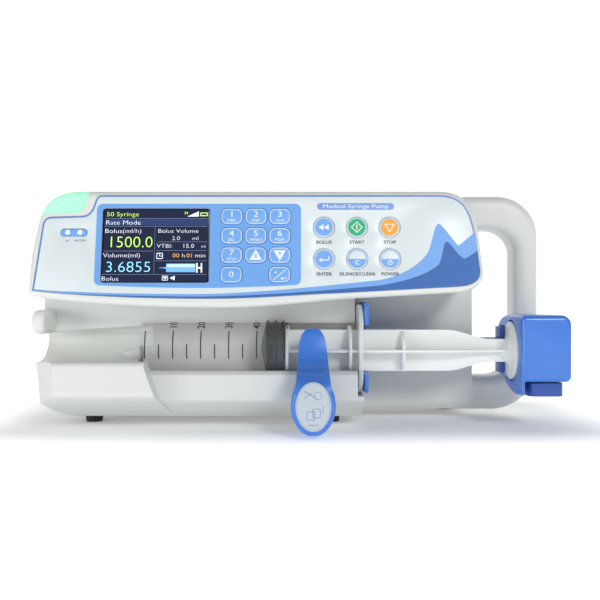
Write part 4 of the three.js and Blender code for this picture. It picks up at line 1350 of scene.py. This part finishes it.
def floor_glow_with_painted_shadow(tree, shader):
    """The paper is backlit, except in a soft zone under and just around the pump, where a lower glow paints
    a contact shadow.
    """
    spot = tree.nodes.new("ShaderNodeTexCoord").outputs["Object"]
    steps = []
    stages = (("ABSOLUTE", None), ("SUBTRACT", PAINTED_SHADOW_HALF), ("MAXIMUM", (0, 0, 0)), ("LENGTH", None))
    for operation, vector in stages:
        node = tree.nodes.new("ShaderNodeVectorMath")
        node.operation = operation
        if vector:
            node.inputs[1].default_value = vector
        steps.append(node)
    tree.links.new(spot, steps[0].inputs[0])
    for a, b in zip(steps, steps[1:]):
        tree.links.new(a.outputs["Vector"], b.inputs[0])
    ramp = tree.nodes.new("ShaderNodeMapRange")
    ramp.interpolation_type = "SMOOTHSTEP"
    put(ramp, From_Min=0.0, From_Max=PAINTED_SHADOW_REACH, To_Min=PAINTED_SHADOW_GLOW, To_Max=GLOW_FAR)
    tree.links.new(steps[-1].outputs["Value"], ramp.inputs["Value"])
    tree.links.new(ramp.outputs["Result"], shader.inputs["Emission Strength"])


def floor():
    """Paper that lies under the pump and bends up behind it."""
    points = []
    profile = [(PAPER_FRONT, 0.0)] + arc(PAPER_BEND, BEND_R, BEND_R, -90, 0, 12)
    profile.append((PAPER_BEND + BEND_R, PAPER_TOP))
    for y, z in profile:
        points += [(-PAPER_HALF_WIDTH, y, z), (PAPER_HALF_WIDTH, y, z)]
    faces = [(2 * i, 2 * i + 1, 2 * i + 3, 2 * i + 2) for i in range(len(profile) - 1)]
    mesh = bpy.data.meshes.new("floor")
    mesh.from_pydata(points, [], faces)
    mesh.polygons.foreach_set("use_smooth", [True] * len(faces))
    sweep = place("floor", mesh)
    paper = material("floor_paper", "#f6f7f7", 0.8, tint=0.01, grain=300, bump=0.02)
    shader = paper.node_tree.nodes["Principled BSDF"]
    put(shader, Emission_Color=srgb("#fdfeff"))
    floor_glow_with_painted_shadow(paper.node_tree, shader)
    mesh.materials.append(paper)


floor()


def area_light(name, at, aim, size, power):
    data = bpy.data.lights.new(name, "AREA")
    data.shape = "RECTANGLE"
    data.size, data.size_y = size
    data.energy = power
    light = place(name, data)
    light.location = at
    light.rotation_euler = (Vector(aim) - Vector(at)).to_track_quat("-Z", "Y").to_euler()


area_light("key", (0.52, -1.25, 0.62), (0, 0, 0.06), (0.3, 0.3), 6.4)
area_light("fill", (-0.95, -0.85, 0.12), (-0.05, 0, 0.05), (0.5, 0.3), 3.6)
world = bpy.data.worlds.new("studio")
bpy.context.scene.world = world
world.use_nodes = True
put(world.node_tree.nodes["Background"], Color=SKY, Strength=SKY_STRENGTH)
bpy.context.scene.view_settings.view_transform = "Standard"
